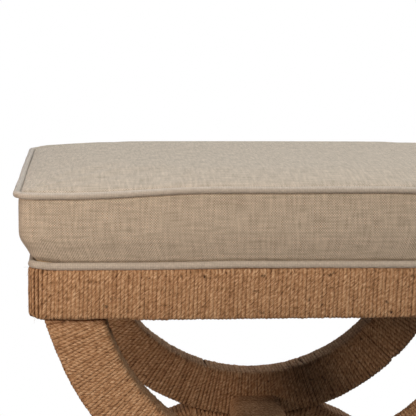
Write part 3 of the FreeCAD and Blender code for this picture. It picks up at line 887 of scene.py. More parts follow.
@dataclass
class Apron:
    """Rope on the four rails and on the rounded corners between them."""

    rope: Rope
    width: float = BENCH.apron_width
    depth: float = BENCH.apron_depth
    low: float = BENCH.leg_height
    high: float = BENCH.apron_top
    wall: float = BENCH.wall
    corner: float = BENCH.apron_corner
    edge: float = BENCH.apron_edge
    strands: int = 5
    corner_rise: float = 7 * MM
    # The turns hang a little between the legs, where nothing stands under them.
    sag: float = 1.4 * MM
    free_half: float = 178 * MM
    ease: float = 30 * MM
    press: float = 2.3 * MM
    press_power: int = 6
    rail_seed: int = 11
    rail_fibres: int = 50
    corner_seed: int = 31
    corner_fibres: int = 3
    strand_root: float = 5 * MM
    strand_swing: float = 0.015
    strand_wave: float = 0.1 * MM
    strand_lead: float = 9 * MM

    def build(self) -> None:
        """Winds the four rails and lays the corner strands."""
        for facing in Facing:
            self.wind_rail(facing)
        for turn, name in enumerate(("front_right", "back_right", "back_left", "front_left")):
            self.lay_corner(turn, f"corner_wrap_{name}")

    def wind_rail(self, facing: Facing) -> None:
        """Winds one rail from end to end.

        Args:
            facing: Side of the bench.
        """
        long_side = facing in (Facing.FRONT, Facing.BACK)
        outer = (self.width if long_side else self.depth) - 2 * self.corner
        inner = outer if long_side else self.depth - 2 * self.wall
        reach = (self.depth if long_side else self.width) / 2
        middle = (self.low + self.high) / 2
        turned = facing.value * math.pi / 2
        inset = self.rope.radius
        half_up = (self.high - self.low) / 2 - inset

        def place(points: Array, share: Array) -> Array:
            """Puts section points on the rail.

            Args:
                points: How far each is out from the rail's face and up from its middle.
                share: How far along each point is, from 0 to 1.

            Returns:
                The points in the row frame.
            """
            inward = np.clip(-points[:, 0] / self.wall, 0, 1)
            along = (share - 0.5) * (outer + (inner - outer) * inward)
            across = -(reach + points[:, 0])
            free = np.clip((self.free_half - np.abs(along)) / self.ease, 0, 1)
            sunk = self.sag * free * np.clip(-points[:, 1] / half_up, 0, 1)
            # The welt above presses the turns down along their outer top edge.
            outside = np.clip(1 + points[:, 0] / (self.wall / 2), 0, 1)
            sunk = sunk + self.press * outside * np.clip(points[:, 1] / half_up, 0, 1) ** self.press_power
            return np.stack([along * math.cos(turned) - across * math.sin(turned),
                             along * math.sin(turned) + across * math.cos(turned),
                             middle + points[:, 1] - sunk], axis=1)

        loop = rounded_loop(inset - self.wall, -inset, half_up, self.edge - inset)
        self.rope.wind(f"{facing.name.lower()}_rail_wrap", self.rope.turns(outer), lambda share: loop, place,
                       self.rail_seed + facing.value, self.rail_fibres)

    def lay_corner(self, turn: int, name: str) -> None:
        """Lays upright strands over one rounded corner.

        Args:
            turn: Quarter turns from the front right corner.
            name: CAD node that the strands replace.
        """
        chance = np.random.default_rng(self.corner_seed + turn)
        sign_x = 1 if turn in (0, 1) else -1
        sign_y = -1 if turn in (0, 3) else 1
        axis = np.array([sign_x * (self.width / 2 - self.corner), sign_y * (self.depth / 2 - self.corner), 0])
        radius = self.rope.radius
        reach = self.corner - radius
        bend = self.edge - radius
        bundle = TubeBundle()
        for strand in range(self.strands):
            angle = (strand + 0.5) / self.strands * math.pi / 2 + chance.normal(0, self.strand_swing)
            ray = np.array([sign_x * math.cos(angle), sign_y * math.sin(angle), 0])
            # The strands at the end of the bench stop a little short, so the corner's foot is rounded.
            short = self.corner_rise * (1 - (strand + 0.5) / self.strands) ** 2
            top, foot = self.high - radius, self.low + radius + short
            profile = Trace()
            profile.straight((self.strand_root, top), (reach - bend, top), (0, 1), (0, 1))
            profile.bend((reach - bend, top - bend), bend, math.pi / 4, (0, -math.pi / 4))
            for share in (0.7, 0.5, 0.3):
                out = reach + chance.normal(0, self.strand_wave)
                profile.straight((out, foot), (out, top), (1, 0), (share,))
            profile.bend((reach - bend, foot + bend), bend, 0, (0, -math.pi / 4))
            profile.straight((reach - bend, foot), (self.strand_root, foot), (0, -1), (0, 1))
            rows = np.array(profile.rows)
            spots, faced = (np.outer(side[:, 0], ray) + np.outer(side[:, 1], (0, 0, 1))
                            for side in (rows[:, :2], rows[:, 2:]))
            spots = axis + spots
            bundle.lay(spots, faced, np.full(len(spots), radius), self.rope.sides,
                       twist=np.full(len(spots), chance.uniform(0, self.strand_lead)))
            self.rope.fray(bundle, spots, faced, chance, self.corner_fibres)
        self.rope.piece(bundle, name)


@dataclass
class CuruleFrame:
    """Rope on one X frame: an upper arc that sits in the crown of a lower arch."""

    rope: Rope
    name: str
    mid_y: float
    seed: int
    lean: float = 0.0
    lapped: str = ""
    lap_angle: float = 0.0
    lap_height: float = 0.0
    outer: float = BENCH.arc_outer
    inner: float = BENCH.arc_inner
    half_width: float = BENCH.limb_width / 2
    edge: float = BENCH.limb_edge
    upper_z: float = BENCH.upper_centre
    lower_z: float = BENCH.lower_centre
    leg_top: float = BENCH.leg_height
    foot: float = BENCH.glide
    crotch: float = BENCH.crotch
    # The turns lean more and more up to this share of a limb.
    lean_run: float = 0.3
    sink: float = 0.085
    sink_run: float = 1.5
    least_fibres: int = 8
    # At the leg tops the winding swells, stops short of the apron and ends unevenly.
    flare: float = 0.0
    flare_power: int = 13
    gap: float = 2.9 * MM
    ragged: float = 0.7 * MM

    def build(self) -> None:
        """Winds the upper arc, the legs of the lower arch and its crown."""
        middle = (self.inner + self.outer) / 2
        for upper in (True, False):
            level = "upper" if upper else "lower"
            cut = self.upper_z - self.leg_top + self.gap if upper else self.foot - self.lower_z
            end = math.acos(cut / self.outer) + math.tan(self.lean) * (1 - middle / self.outer)
            for side, name in ((-1, "left"), (1, "right")):
                self.wind_arc(f"{level}_{name}", upper, side * self.crotch, side * end, cut)
        self.wind_arc("upper_waist", True, -self.crotch, self.crotch, 0.0)
        self.wind_arc("lower_crown", False, -self.crotch, self.crotch, 0.0)

    def wind_arc(self, part: str, upper: bool, start: float, end: float, cut: float) -> None:
        """Winds one stretch of an arc with turns that point at its centre.

        Args:
            part: Which stretch, as its CAD node names it.
            upper: Whether it is on the upper arc.
            start: Angle from the middle of the frame where it starts.
            end: Angle where it ends.
            cut: Distance from the arc's centre to the level plane that cuts its end, or 0.
        """
        middle = (self.inner + self.outer) / 2
        centre_z = self.upper_z if upper else self.lower_z
        down = -1 if upper else 1
        side = math.copysign(1, end)
        inset = self.rope.radius

        def place(points: Array, share: Array) -> Array:
            """Puts section points on the arc.

            Args:
                points: How far each is from the arc's centre and from the middle of the limb.
                share: How far along each point is, from 0 to 1.

            Returns:
                The points in the row frame.
            """
            angle = start + (end - start) * share
            if cut:
                aslant = math.tan(self.lean) * (middle / points[:, 0] - 1)
                angle = angle + aslant * side * np.clip(share / self.lean_run, 0, 1)
                uneven = self.ragged * ripple(points[:, 0], self.seed, 2 * self.half_width) if upper else 0.0
                level = np.arccos((cut + inset + uneven) / points[:, 0])
                past = np.clip((angle * side - level) * middle / inset + self.sink_run, 0, 1)
                angle = np.minimum(angle * side, level) * side
                # The last turns have less room, and sink in at the faces.
                points = np.column_stack([points[:, 0], points[:, 1] * (1 - self.sink * past)])
            return np.stack([points[:, 0] * np.sin(angle), self.mid_y + points[:, 1],
                             centre_z + down * points[:, 0] * np.cos(angle)], axis=1)

        def loop_at(share: float) -> Loop:
            """Gives the loop of the turn at a share of the stretch.

            Args:
                share: How far along the turn is, from 0 to 1.

            Returns:
                The loop that the middle of the rope follows.
            """
            outer = self.outer + (self.flare * share ** self.flare_power if cut else 0.0)
            if part == "lower_crown":
                outer = self.saddle(start + (end - start) * share)
            return rounded_loop(self.inner + inset, outer - inset, self.half_width - inset, self.edge - inset)

        turns = self.rope.turns(abs(end - start) * middle)
        seed = self.seed + sum(part.encode())
        lap = None
        if part == self.lapped:
            lap = Lap((self.lap_angle - abs(start)) / (abs(end) - abs(start)), self.lap_height)
        self.rope.wind(f"{self.name}_{part}_wrap", turns, loop_at, place, seed,
                       max(self.least_fibres, turns // 2), lap)

    def saddle(self, angle: float) -> float:
        """How far the crown reaches from the lower centre before it meets the upper arc."""
        apart = self.upper_z - self.lower_z
        return apart * math.cos(angle) - math.sqrt(self.outer ** 2 - (apart * math.sin(angle)) ** 2)


@dataclass
class Stretcher:
    """Rope on the flat bar between the two frames."""

    rope: Rope
    half_length: float = BENCH.frame_y - BENCH.limb_width / 2
    half_width: float = BENCH.stretcher_width / 2
    half_height: float = BENCH.stretcher_height / 2
    middle_z: float = BENCH.waist
    edge: float = 11 * MM
    pinch: float = 0.1
    pinch_run: float = 6 * MM
    seed: int = 71
    fibres: int = 40

    def build(self) -> None:
        """Winds the bar from frame to frame."""
        inset = self.rope.radius
        loop = rounded_loop(inset - self.half_height, self.half_height - inset, self.half_width - inset,
                            self.edge - inset)

        def place(points: Array, share: Array) -> Array:
            """Puts section points on the bar.

            Args:
                points: How far each is up from the bar's middle and across from it.
                share: How far along each point is, from 0 to 1.

            Returns:
                The points in the row frame.
            """
            along = (share - 0.5) * 2 * self.half_length
            # The end turns are drawn in where the bar meets a frame.
            near_end = np.clip(1 - (self.half_length - np.abs(along)) / self.pinch_run, 0, 1)
            drawn = points * (1 - self.pinch * near_end)[:, None]
            return np.stack([drawn[:, 1], along, self.middle_z + drawn[:, 0]], axis=1)

        self.rope.wind("stretcher_wrap", self.rope.turns(2 * self.half_length), lambda share: loop, place,
                       self.seed, self.fibres)


PLAN_STEP = 6 * MM
PLAN_CORNER = 7


def walk_plan(half: Array, corner: float) -> Array:
    """Walks round a rounded rectangle in plan from the middle of the back, to the left first.

    Args:
        half: Half width and half depth.
        corner: Corner radius.

    Returns:
        Points and outward directions, as many rows for any size, with the first row again at the end.
    """
    along, deep = (round(size / PLAN_STEP) for size in (BENCH.seat_width, BENCH.seat_depth))
    halves, full, side = ([index / count for index in range(count)] for count in (along // 2, along, deep))
    first, last = ([start + share / 2 for share in halves] for start in (0.5, 0.0))
    angles = [index / PLAN_CORNER * math.pi / 2 for index in range(PLAN_CORNER)]
    rows = go_round(-half[1], half[1], half[0], corner, (first, side, full, side, last), angles)
    turned = rows[:, [1, 0, 3, 2]] * np.array([1, -1, 1, -1])
    return np.concatenate([turned, turned[:1]])


RIPPLES = (4, 7, 11, 17, 26)
RIPPLE_PHASE = 6.28
RIPPLE_SCALE = 1.2


def ripple(places: Array, seed: int, length: float) -> Array:
    """A slow uneven wave round a closed line, between about -1 and 1.

    Args:
        places: Distances along the line.
        seed: Seed of the wave.
        length: Length of the closed line.

    Returns:
        The wave at each place.
    """
    chance = np.random.default_rng(seed)
    wave = np.zeros_like(places)
    for count in RIPPLES:
        height = chance.normal(0, 1) / count ** 0.5
        phase = chance.uniform(0, RIPPLE_PHASE)
        wave += height * np.sin(2 * math.pi * count * places / length + phase)
    return wave / RIPPLE_SCALE


def distances(points: Array) -> Array:
    """How far along a line in plan each of its points is."""
    return np.cumsum(np.linalg.norm(np.diff(points[:, :2], axis=0, prepend=points[:1, :2]), axis=1))


def wander(points: Array, seed: int) -> Array:
    """An uneven wave at points round a closed line in plan, between about -1 and 1."""
    places = distances(points)
    return ripple(places, seed, places[-1])


def add_grid(name: str, columns: int, rows: int) -> tuple[Piece, Array]:
    """Adds a grid of quads.

    Args:
        name: Name of the piece.
        columns: Faces one way.
        rows: Faces the other way.

    Returns:
        The grid and each vertex's place on it, from 0 to 1 both ways.
    """
    deselect()
    bpy.ops.mesh.primitive_grid_add(x_subdivisions=columns, y_subdivisions=rows, size=1, calc_uvs=False)
    piece = bpy.context.object
    piece.name = name
    piece.data.name = name
    return piece, spots_of(piece)[:, :2] + 0.5


def move_to(piece: Piece, spots: Array) -> None:
    """Puts a piece's vertices at new places."""
    piece.data.vertices.foreach_set("co", spots.astype(np.float32).ravel())
    piece.data.update()


def map_cloth(piece: Piece, places: Array, name: str) -> None:
    """Gives a piece a map from its vertices' places on the flat cloth.

    Args:
        piece: Piece to map.
        places: Place of each vertex.
        name: Name of the map.
    """
    layer = piece.data.uv_layers.new(name=name)
    corners = np.empty(len(piece.data.loops), int)
    piece.data.loops.foreach_get("vertex_index", corners)
    layer.data.foreach_set("uv", places[corners].astype(np.float32).ravel())


def round_corner(plan: Array, half: Array, radius: float) -> Array:
    """Draws plan points in so that a rectangle's corners become round.

    Args:
        plan: Plan points.
        half: Half width and half depth of the rectangle, for all points or for each.
        radius: Corner radius.

    Returns:
        The new plan points.
    """
    past = (np.abs(plan) - (half - radius)) / radius
    in_corner = (past > 0).all(1, keepdims=True)
    kept = np.where(in_corner, past, 0)
    drawn = half - radius + radius * kept * np.sqrt(1 - kept[:, ::-1] ** 2 / 2)
    return np.where(in_corner, np.copysign(drawn, plan), plan)


@dataclass
class Seat:
    """The boxed linen seat: foam, top panel, boxing and the two welts."""

    width: float = BENCH.seat_width
    depth: float = BENCH.seat_depth
    corner: float = BENCH.seat_corner
    top_welt: float = BENCH.top_welt
    top_welt_z: float = BENCH.top_welt_z
    foot_welt: float = BENCH.foot_welt
    foot_welt_z: float = BENCH.foot_welt_z
    apron_width: float = BENCH.apron_width
    apron_depth: float = BENCH.apron_depth
    apron_corner: float = BENCH.apron_corner
    board_top: float = BENCH.apron_top + BENCH.board
    reach: float = 3.2 * MM
    end_reach: float = 1.7 * MM
    # The boxing is drawn in over this height above the lower welt.
    tuck: float = 25 * MM
    crown: float = 15.2 * MM
    crown_run: float = 95 * MM
    cover: float = 1.3 * MM
    # How far the top seam leaves its level in the middle of the front, at the front corners and behind.
    head_rise: float = 5.2 * MM
    head_drop: float = 2.4 * MM
    back_lift: float = 0.2 * MM
    lift_start: float = 50 * MM
    lift_run: float = 135 * MM
    side_lift: float = 0.3
    seam_wave: float = 0.35 * MM
    head_seed: int = 5
    foot_seed: int = 6
    foot_press: float = 2.3 * MM
    foot_corner: float = 2.8 * MM
    foot_corner_run: float = 26 * MM
    # The foam stays this far inside the cover.
    foam_inset: float = 4.5 * MM
    foam_cuts: int = 23
    panel_step: float = 5.5 * MM
    edge_overlap: float = 1 * MM
    edge_gather: float = 0.65
    edge_drop: float = 2.6 * MM
    # Push of the filling on the cloth, and how far it may move the cloth.
    top_pressure: float = 0.35
    top_give: float = 2 * MM
    turn_in: float = 4 * MM
    side_rows: int = 12
    weld: float = 0.01 * MM
    side_pressure: float = 0.3
    side_give: float = 1.5 * MM
    foot_held: float = 2.6 * MM
    head_held: float = 4 * MM
    welt_sway: float = 0.6 * MM
    welt_uneven: float = 0.012
    welt_sides: int = 12

    # Rows of the boxing at its seams: height from the seam, and share of the turn-in.
    FOOT_ROWS = ((-2.8 * MM, 1.5), (0.4 * MM, 0.8), (1.8 * MM, 0.1))
    HEAD_ROWS = ((-0.2 * MM, 0.05), (1.4 * MM, 1.0))
    SETTLE_FRAMES = 20
    CLOTH = {"quality": 6, "mass": 0.25, "tension_stiffness": 25, "compression_stiffness": 25,
             "shear_stiffness": 12, "bending_stiffness": 0.8, "use_pressure": True,
             "vertex_group_mass": "sewn"}

    @property
    def half(self) -> Array:
        """Half width and half depth of the seat."""
        return np.array([self.width, self.depth]) / 2

    @property
    def apron_half(self) -> Array:
        """Half width and half depth of the apron."""
        return np.array([self.apron_width, self.apron_depth]) / 2

    @property
    def past_end(self) -> Array:
        """How far the top reaches past the seat's ends and past its front and back."""
        return np.array([self.end_reach, 0.0])

    def build(self) -> None:
        """Makes the foam, sews the cover over it and runs the welts round the seams."""
        self.make_foam()
        self.make_top()
        self.make_boxing()
        self.make_welts()

    def head_lift(self, points: Array) -> Array:
        """How far the top seam leaves its level: the filling lifts it between the front corners.

        Args:
            points: Plan points round the seam, x and y in the first two columns.

        Returns:
            Heights in metres.
        """
        inward = self.half - np.abs(points[:, :2])
        share = np.clip((inward.max(1) - self.lift_start) / self.lift_run, 0, 1)
        lifted = self.head_rise * share * share * (3 - 2 * share)
        lifted = np.where(inward[:, 0] < inward[:, 1], self.side_lift * lifted, lifted)
        front = np.clip(0.5 - points[:, 1] / self.depth, 0, 1)
        wave = wander(points, self.head_seed) * self.seam_wave
        return (lifted - self.head_drop) * front + self.back_lift * (1 - front) + wave

    def foot_lift(self, points: Array) -> Array:
        """How far the lower seam leaves its level: it is pressed down, least at the corners.

        Args:
            points: Plan points round the seam, x and y in the first two columns.

        Returns:
            Heights in metres.
        """
        past = (np.abs(points[:, :2]) - self.apron_half).sum(1)
        corner = np.clip(1 + past / self.foot_corner_run, 0, 1)
        wave = wander(points, self.foot_seed) * self.seam_wave
        return wave - self.foot_press + corner * self.foot_corner

    def profile(self, heights: Array) -> Array:
        """Gives the plan size of the boxing at each height.

        Args:
            heights: Heights above the floor.

        Returns:
            Half width and half depth, one row each.
        """
        share = np.clip((heights - self.foot_welt_z - self.foot_welt) / self.tuck, 0, 1)
        swell = (1 - np.cos(math.pi * share)) / 2
        low, high = self.apron_half - self.foot_welt / 2, self.half - self.reach
        return low + np.outer(swell, high - low)

    def rise(self, plan: Array, half: Array) -> Array:
        """Height of the crown above its edge at plan points.

        Args:
            plan: Plan points.
            half: Half width and half depth of the crown.

        Returns:
            Rise in metres.
        """
        near = (np.maximum(half - np.abs(plan), TINY) ** -2.0).sum(1) ** -0.5
        share = np.clip(near / self.crown_run, 0, 1)
        return self.crown * np.sqrt(1 - (1 - share) ** 2)

    def inflate(self, piece: Piece, held: Array, pressure: float, cap: float) -> None:
        """Lets the cloth settle over its filling and keeps the result.

        Args:
            piece: Cloth to settle.
            held: Whether each vertex is sewn down.
            pressure: Push of the filling.
            cap: Farthest that a point may move.
        """
        before = spots_of(piece)
        group = piece.vertex_groups.new(name=self.CLOTH["vertex_group_mass"])
        group.add(np.nonzero(held)[0].tolist(), 1.0, "REPLACE")
        make_active(piece)
        cloth = piece.modifiers.new("settle", "CLOTH")
        for name, setting in self.CLOTH.items():
            setattr(cloth.settings, name, setting)
        cloth.settings.uniform_pressure_force = pressure
        cloth.settings.effector_weights.gravity = 0
        cloth.point_cache.frame_start = 1
        cloth.point_cache.frame_end = self.SETTLE_FRAMES
        for step in range(1, self.SETTLE_FRAMES + 1):
            bpy.context.scene.frame_set(step)
        bpy.ops.object.modifier_apply(modifier=cloth.name)
        bpy.context.scene.frame_set(1)
        moved = spots_of(piece) - before
        far = np.linalg.norm(moved, axis=1, keepdims=True)
        LOG.info("%s settled by up to %.1f mm", piece.name, float(far.max()) / MM)
        move_to(piece, before + moved * np.minimum(1, cap / np.maximum(far, TINY)))
        piece.vertex_groups.clear()

    def dress(self, piece: Piece, node: str) -> None:
        """Smooths a cloth piece, gives it its thickness on the inside and its linen.

        Args:
            piece: Cloth in its final shape.
            node: CAD node that it replaces.
        """
        make_active(piece)
        apply_modifier(piece, "SUBSURF", levels=1, render_levels=1)
        apply_modifier(piece, "SOLIDIFY", thickness=self.cover, offset=-1)
        bpy.ops.object.shade_smooth()
        finish_piece(piece, Look.LINEN.value, (node,))

    def make_foam(self) -> None:
        """Shapes a cut block of foam to the crown and the drawn-in foot."""
        deselect()
        bpy.ops.mesh.primitive_cube_add(size=2)
        block = bpy.context.object
        block.name = "foam_block"
        bpy.ops.object.mode_set(mode="EDIT")
        bpy.ops.mesh.select_all(action="SELECT")
        bpy.ops.mesh.subdivide(number_cuts=self.foam_cuts)
        bpy.ops.object.mode_set(mode="OBJECT")
        spots = spots_of(block)
        top = spots[:, 2] > 1 - TINY
        tall = self.top_welt_z - self.top_welt - self.board_top
        height = self.board_top + tall * (spots[:, 2] + 1) / 2
        crown = self.half - 2 * self.top_welt - self.foam_inset
        half = np.where(top[:, None], crown, self.profile(height) - self.foam_inset)
        plan = round_corner(spots[:, :2] * half, half, self.corner - self.reach)
        height[top] += self.rise(plan[top], crown) + self.top_welt - self.foam_inset
        move_to(block, np.column_stack([plan, height]))
        make_active(block)
        bpy.ops.object.shade_smooth_by_angle(angle=SHARP)
        finish_piece(block, Look.FOAM.value, ("seat_foam",))

    def make_top(self) -> None:
        """Cuts the top panel, settles it over the foam and sews its edge down behind the welt."""
        edge = 2 * self.top_welt - self.edge_overlap
        half = self.half - edge + self.past_end
        piece, shares = add_grid("linen_top", *(round(2 * size / self.panel_step) for size in half))
        # Rows lie closer together towards the seam, where the cloth turns down sharply.
        even = (shares - 0.5) * 2
        flat = (even + self.edge_gather * np.sin(math.pi * even) / math.pi) * half
        map_cloth(piece, flat, CLOTH_MAP)
        map_cloth(piece, shares, BAKE_MAP)
        show_map(piece, CLOTH_MAP)
        border = ((shares < TINY) | (shares > 1 - TINY)).any(1)
        near = (np.abs(flat) / half).max(1)
        rim = flat / np.maximum(near, TINY)[:, None]
        height = self.top_welt_z + self.rise(flat, half) + self.head_lift(rim) * near ** 4
        height[border] -= self.edge_drop
        move_to(piece, np.column_stack([round_corner(flat, half, self.corner - edge), height]))
        self.inflate(piece, border, self.top_pressure, self.top_give)
        self.dress(piece, "seat_cover_top")

    def make_boxing(self) -> None:
        """Wraps the boxing round the sides and settles it between its two sewn edges."""
        foot, head = self.foot_welt_z + self.foot_welt, self.top_welt_z - self.top_welt
        rows = [(foot + above, share * self.turn_in) for above, share in self.FOOT_ROWS]
        rows += [(foot + (head - foot) * step / self.side_rows, 0.0) for step in range(1, self.side_rows)]
        rows += [(head + above, share * self.turn_in) for above, share in self.HEAD_ROWS]
        levels, insets = np.array(rows).T
        radius = self.corner - self.reach
        walk = walk_plan(self.half - self.reach, radius)
        columns = len(walk) - 1
        piece, shares = add_grid("linen_boxing", columns, len(rows) - 1)
        column, row = np.rint(shares * np.array([columns, len(rows) - 1])).astype(int).T
        map_cloth(piece, np.column_stack([distances(walk)[column], levels[row]]), CLOTH_MAP)
        head_wave, foot_wave = self.head_lift(walk), self.foot_lift(walk)
        layers = []
        for height, inset, half in zip(levels, insets, self.profile(levels)):
            ring = walk_plan(half - inset, radius - inset)
            share = (height - foot) / (head - foot)
            lifted = height + head_wave * share + foot_wave * (1 - share)
            layers.append(np.column_stack([ring[:, :2], lifted]))
        move_to(piece, np.array(layers)[row, column])
        make_active(piece)
        bpy.ops.object.mode_set(mode="EDIT")
        bpy.ops.mesh.select_all(action="SELECT")
        bpy.ops.mesh.remove_doubles(threshold=self.weld)
        bpy.ops.mesh.normals_make_consistent(inside=False)
        bpy.ops.object.mode_set(mode="OBJECT")
        height = spots_of(piece)[:, 2]
        held = (height < foot + self.foot_held) | (height > head - self.head_held)
        self.inflate(piece, held, self.side_pressure, self.side_give)
        self.dress(piece, "seat_cover_boxing")

    def make_welts(self) -> None:
        """Runs a piped welt round the top edge and another between the seat and the apron."""
        head = walk_plan(self.half - self.top_welt + self.past_end, self.corner - self.top_welt)
        foot = walk_plan(self.apron_half - self.foot_welt, self.apron_corner - self.foot_welt)
        rows = (("top_piping", self.top_welt, head, self.top_welt_z + self.head_lift(head)),
                ("bottom_piping", self.foot_welt, foot, self.foot_welt_z + self.foot_lift(foot)))
        for name, radius, walk, height in rows:
            sway = wander(walk, len(name)) * self.welt_sway
            plan = walk[:, :2] + walk[:, 2:] * sway[:, None]
            spots = np.column_stack([plan, height])[:-1]
            faced = np.column_stack([walk[:-1, 2:], np.zeros(len(spots))])
            chance = np.random.default_rng(len(name))
            thick = radius * (1 + chance.normal(0, self.welt_uneven, len(spots)))
            bundle = TubeBundle()
            bundle.lay(spots, faced, thick, self.welt_sides, closed=True)
            piece = bundle.build(f"linen_{name}", 2 * math.pi * radius, ROPE_MAP)
            self.turn_bias(piece, 2 * math.pi * radius)
            finish_piece(piece, Look.WELT.value, (name,))

    @staticmethod
    def turn_bias(piece: Piece, girth: float) -> None:
        """Gives a welt a cloth map in metres, turned 45 degrees as bias-cut cloth is.

        Args:
            piece: Welt with a map along and around it.
            girth: Length round the welt.
        """
        maps = piece.data.uv_layers
        spans = np.empty(len(piece.data.loops) * 2, np.float32)
        maps[ROPE_MAP].data.foreach_get("uv", spans)
        spans = spans.reshape(-1, 2) * np.array([1, girth])
        turned = np.column_stack([spans[:, 0] + spans[:, 1], spans[:, 1] - spans[:, 0]]) * math.sqrt(0.5)
        maps.new(name=CLOTH_MAP).data.foreach_set("uv", turned.astype(np.float32).ravel())
        maps.remove(maps[ROPE_MAP])
        show_map(piece, CLOTH_MAP)


@dataclass
class DustCover:
    """The dark cloth that closes the underside of the seat between the corner blocks."""

    CLEAR = 0.5 * MM
    LET_IN = 4 * MM

    half_width: float = BENCH.apron_width / 2 - BENCH.wall - CLEAR
    half_depth: float = BENCH.apron_depth / 2 - BENCH.wall - CLEAR
    block_x: float = BENCH.apron_width / 2 - BENCH.wall + LET_IN - BENCH.block - CLEAR
    block_y: float = BENCH.apron_depth / 2 - BENCH.wall + LET_IN - BENCH.block - CLEAR
    level: float = BENCH.apron_top - 0.4 * MM
    sag: float = 2.2 * MM
    thickness: float = 0.6 * MM
    columns: int = 46
    rows: int = 33

    def build(self) -> None:
        """Cuts the cloth round the blocks and lets it hang a little."""
        piece, shares = add_grid("dust_cloth", self.columns, self.rows)
        flat = (shares - 0.5) * 2 * np.array([self.half_width, self.half_depth])
        for axis, block in ((0, self.block_x), (1, self.block_y)):
            nearest = np.abs(np.abs(flat[:, axis]) - block)
            snap = nearest <= nearest.min() + TINY
            flat[snap, axis] = np.copysign(block, flat[snap, axis])
        hang = (np.cos(flat[:, 0] / self.half_width * math.pi / 2)
                * np.cos(flat[:, 1] / self.half_depth * math.pi / 2))
        spots = np.column_stack([flat, self.level - self.sag * hang])
        move_to(piece, spots)
        map_cloth(piece, flat, CLOTH_MAP)
        make_active(piece)
        bpy.ops.object.mode_set(mode="EDIT")
        bpy.ops.mesh.select_all(action="DESELECT")
        bpy.ops.object.mode_set(mode="OBJECT")
        for face in piece.data.polygons:
            face.select = abs(face.center.x) > self.block_x and abs(face.center.y) > self.block_y
        bpy.ops.object.mode_set(mode="EDIT")
        bpy.ops.mesh.delete(type="FACE")
        bpy.ops.object.mode_set(mode="OBJECT")
        apply_modifier(piece, "SOLIDIFY", thickness=self.thickness, offset=-1)
        bpy.ops.object.shade_smooth_by_angle(angle=SHARP)
        finish_piece(piece, Look.DUST_CLOTH.value, ("dust_cover",))


@dataclass
class Timberwork:
    """The wooden cores, fixings and glides that come from the CAD model."""

    frame: dict

    def dress(self) -> None:
        """Gives every shown CAD node the finish of its slot."""
        for part in self.frame["record"]["subparts"]:
            look = CAD_LOOKS.get(part["material_slot"])
            if look is None:
                continue
            for slot in self.frame["nodes"][part["node"]].material_slots:
                slot.material = look.value.material()
            LOG.info("%s: %s", part["node"], look.value.name)


@dataclass
class Softbox:
    """A square studio lamp."""

    name: str
    place: Spot
    aim: Spot
    side: float
    power: float
    colour: str

    def build(self) -> None:
        """Hangs the lamp and turns it to its aim."""
        data = bpy.data.lights.new(self.name, "AREA")
        data.shape = "SQUARE"
        data.size = self.side
        data.energy = self.power
        data.color = linear(self.colour)[:3]
        lamp = bpy.data.objects.new(self.name, data)
        lamp.location = self.place
        lamp.rotation_euler = (Vector(self.aim) - Vector(self.place)).to_track_quat("-Z", "Y").to_euler()
        bpy.context.scene.collection.objects.link(lamp)


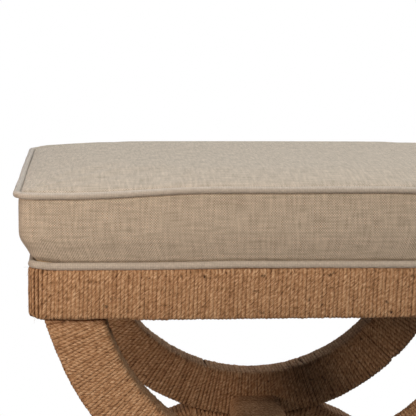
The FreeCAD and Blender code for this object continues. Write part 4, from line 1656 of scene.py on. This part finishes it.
@dataclass
class Studio:
    """Floor, lamps, background and camera."""

    LAMPS = (Softbox("key", (0.35, -2.25, 1.95), (0, 0, 0.35), 0.9, 30, "#FFF6EC"),
             Softbox("low", (-0.95, -1.0, 0.62), (-0.1, 0.14, 0.27), 0.2, 7.3, "#FFE8D8"),
             Softbox("top", (0.1, 0.1, 2.4), (0, 0, 0.4), 1.6, 29, "#E8F2FF"),
             Softbox("back", (1.6, 1.9, 1.5), (0, 0, 0.3), 0.9, 20, "#FFF6EC"))
    WHITE = (1, 1, 1, 1)

    ambient: float = 0.042
    ambient_colour: str = "#C4D2FF"
    floor_size: float = 14.0
    floor_place: Spot = (0, 3, -0.3 * MM)
    shadow_fade: Pair = (0.3, 0.75)
    shadow_share: float = 0.3
    camera_place: Spot = (-0.2036, -1.4212, 0.6673)
    yaw: float = math.radians(5.301)
    pitch: float = math.radians(8.447)
    roll: float = math.radians(0.596)
    lens: float = 114.96
    sensor: float = 36.0

    def build(self) -> None:
        """Sets up everything round the bench."""
        bpy.context.scene.view_settings.view_transform = "Standard"
        self.lay_floor()
        self.paint_background()
        for lamp in self.LAMPS:
            lamp.build()
        self.place_camera()

    @staticmethod
    def seen_by_eye(tree: Tree) -> Socket:
        """Adds nodes that tell rays from the camera, mirrors and glass from the rest.

        Args:
            tree: Node tree that takes the nodes.

        Returns:
            A socket that is above 0 for such rays.
        """
        path = add_node(tree, "ShaderNodeLightPath").outputs
        shiny = add_node(tree, "ShaderNodeMath", {0: path["Is Camera Ray"], 1: path["Is Glossy Ray"]},
                         operation="MAXIMUM")
        return add_node(tree, "ShaderNodeMath", {0: shiny, 1: path["Is Transmission Ray"]},
                        operation="MAXIMUM").outputs[0]

    def lay_floor(self) -> None:
        """Lays a white floor that keeps a soft shadow and sends little light back up."""
        deselect()
        bpy.ops.mesh.primitive_plane_add(size=self.floor_size, location=self.floor_place)
        floor = bpy.context.object
        floor.name = "floor"
        bpy.ops.object.transform_apply(location=True)
        # Matt paint gives no mirror image of the bench, only a soft shadow under it.
        paint = bpy.data.materials.new("matt white floor paint")
        paint.use_nodes = True
        tree = paint.node_tree
        tree.nodes.clear()
        eye = self.seen_by_eye(tree)
        glow = add_node(tree, "ShaderNodeEmission", {"Color": self.WHITE, "Strength": 1.0})
        matt = add_node(tree, "ShaderNodeBsdfDiffuse", {"Color": linear("#F4F4F4")})
        dull = add_node(tree, "ShaderNodeBsdfDiffuse", {"Color": linear("#808080")})
        place = add_node(tree, "ShaderNodeTexCoord").outputs["Object"]
        away = add_node(tree, "ShaderNodeVectorMath", {0: place}, operation="LENGTH")
        near = add_node(tree, "ShaderNodeMapRange",
                        {"Value": away.outputs["Value"], "From Min": self.shadow_fade[0],
                         "From Max": self.shadow_fade[1], "To Min": self.shadow_share, "To Max": 0.0})
        shown = add_node(tree, "ShaderNodeMixShader", {0: near, 1: glow, 2: matt})
        both = add_node(tree, "ShaderNodeMixShader", {0: eye, 1: dull, 2: shown})
        add_node(tree, "ShaderNodeOutputMaterial", {0: both})
        floor.data.materials.append(paint)

    def paint_background(self) -> None:
        """Makes the background white to the eye and a low even light to the bench."""
        world = bpy.data.worlds.new("studio")
        bpy.context.scene.world = world
        world.use_nodes = True
        tree = world.node_tree
        tree.nodes.clear()
        eye = self.seen_by_eye(tree)
        soft = add_node(tree, "ShaderNodeBackground",
                        {"Color": linear(self.ambient_colour), "Strength": self.ambient})
        white = add_node(tree, "ShaderNodeBackground", {"Color": self.WHITE, "Strength": 1.0})
        both = add_node(tree, "ShaderNodeMixShader", {0: eye, 1: soft, 2: white})
        add_node(tree, "ShaderNodeOutputWorld", {0: both})

    def place_camera(self) -> None:
        """Puts the camera where the photograph was taken from."""
        data = bpy.data.cameras.new("camera")
        data.lens = self.lens
        data.sensor_width = self.sensor
        camera = bpy.data.objects.new("camera", data)
        ahead = Vector((math.sin(self.yaw) * math.cos(self.pitch), math.cos(self.yaw) * math.cos(self.pitch),
                        -math.sin(self.pitch)))
        right = Vector((math.cos(self.yaw), -math.sin(self.yaw), 0))
        above = right.cross(ahead)
        across = right * math.cos(self.roll) + above * math.sin(self.roll)
        up = above * math.cos(self.roll) - right * math.sin(self.roll)
        turn = Matrix((across, up, -ahead)).transposed().to_4x4()
        camera.matrix_world = Matrix.Translation(self.camera_place) @ turn
        bpy.context.scene.collection.objects.link(camera)
        bpy.context.scene.camera = camera


def main() -> None:
    """Loads the frame, builds each sub-assembly in order and sets up the studio."""
    logging.basicConfig(level=logging.INFO, format="%(name)s: %(message)s")
    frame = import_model()
    rope = Rope()
    Timberwork(frame).dress()
    Apron(rope).build()
    # The front legs are wound more closely and at more of a slant than the back ones.
    CuruleFrame(Rope(pitch=3.45 * MM), "front", mid_y=-BENCH.frame_y, seed=100, lean=math.radians(9),
                flare=3.1 * MM).build()
    CuruleFrame(Rope(pitch=4.1 * MM), "back", mid_y=BENCH.frame_y, seed=500, lapped="upper_right",
                lap_angle=math.radians(44.5), lap_height=2.4 * MM).build()
    Stretcher(rope).build()
    Seat().build()
    DustCover().build()
    Studio().build()


if __name__ == "__main__":
    main()
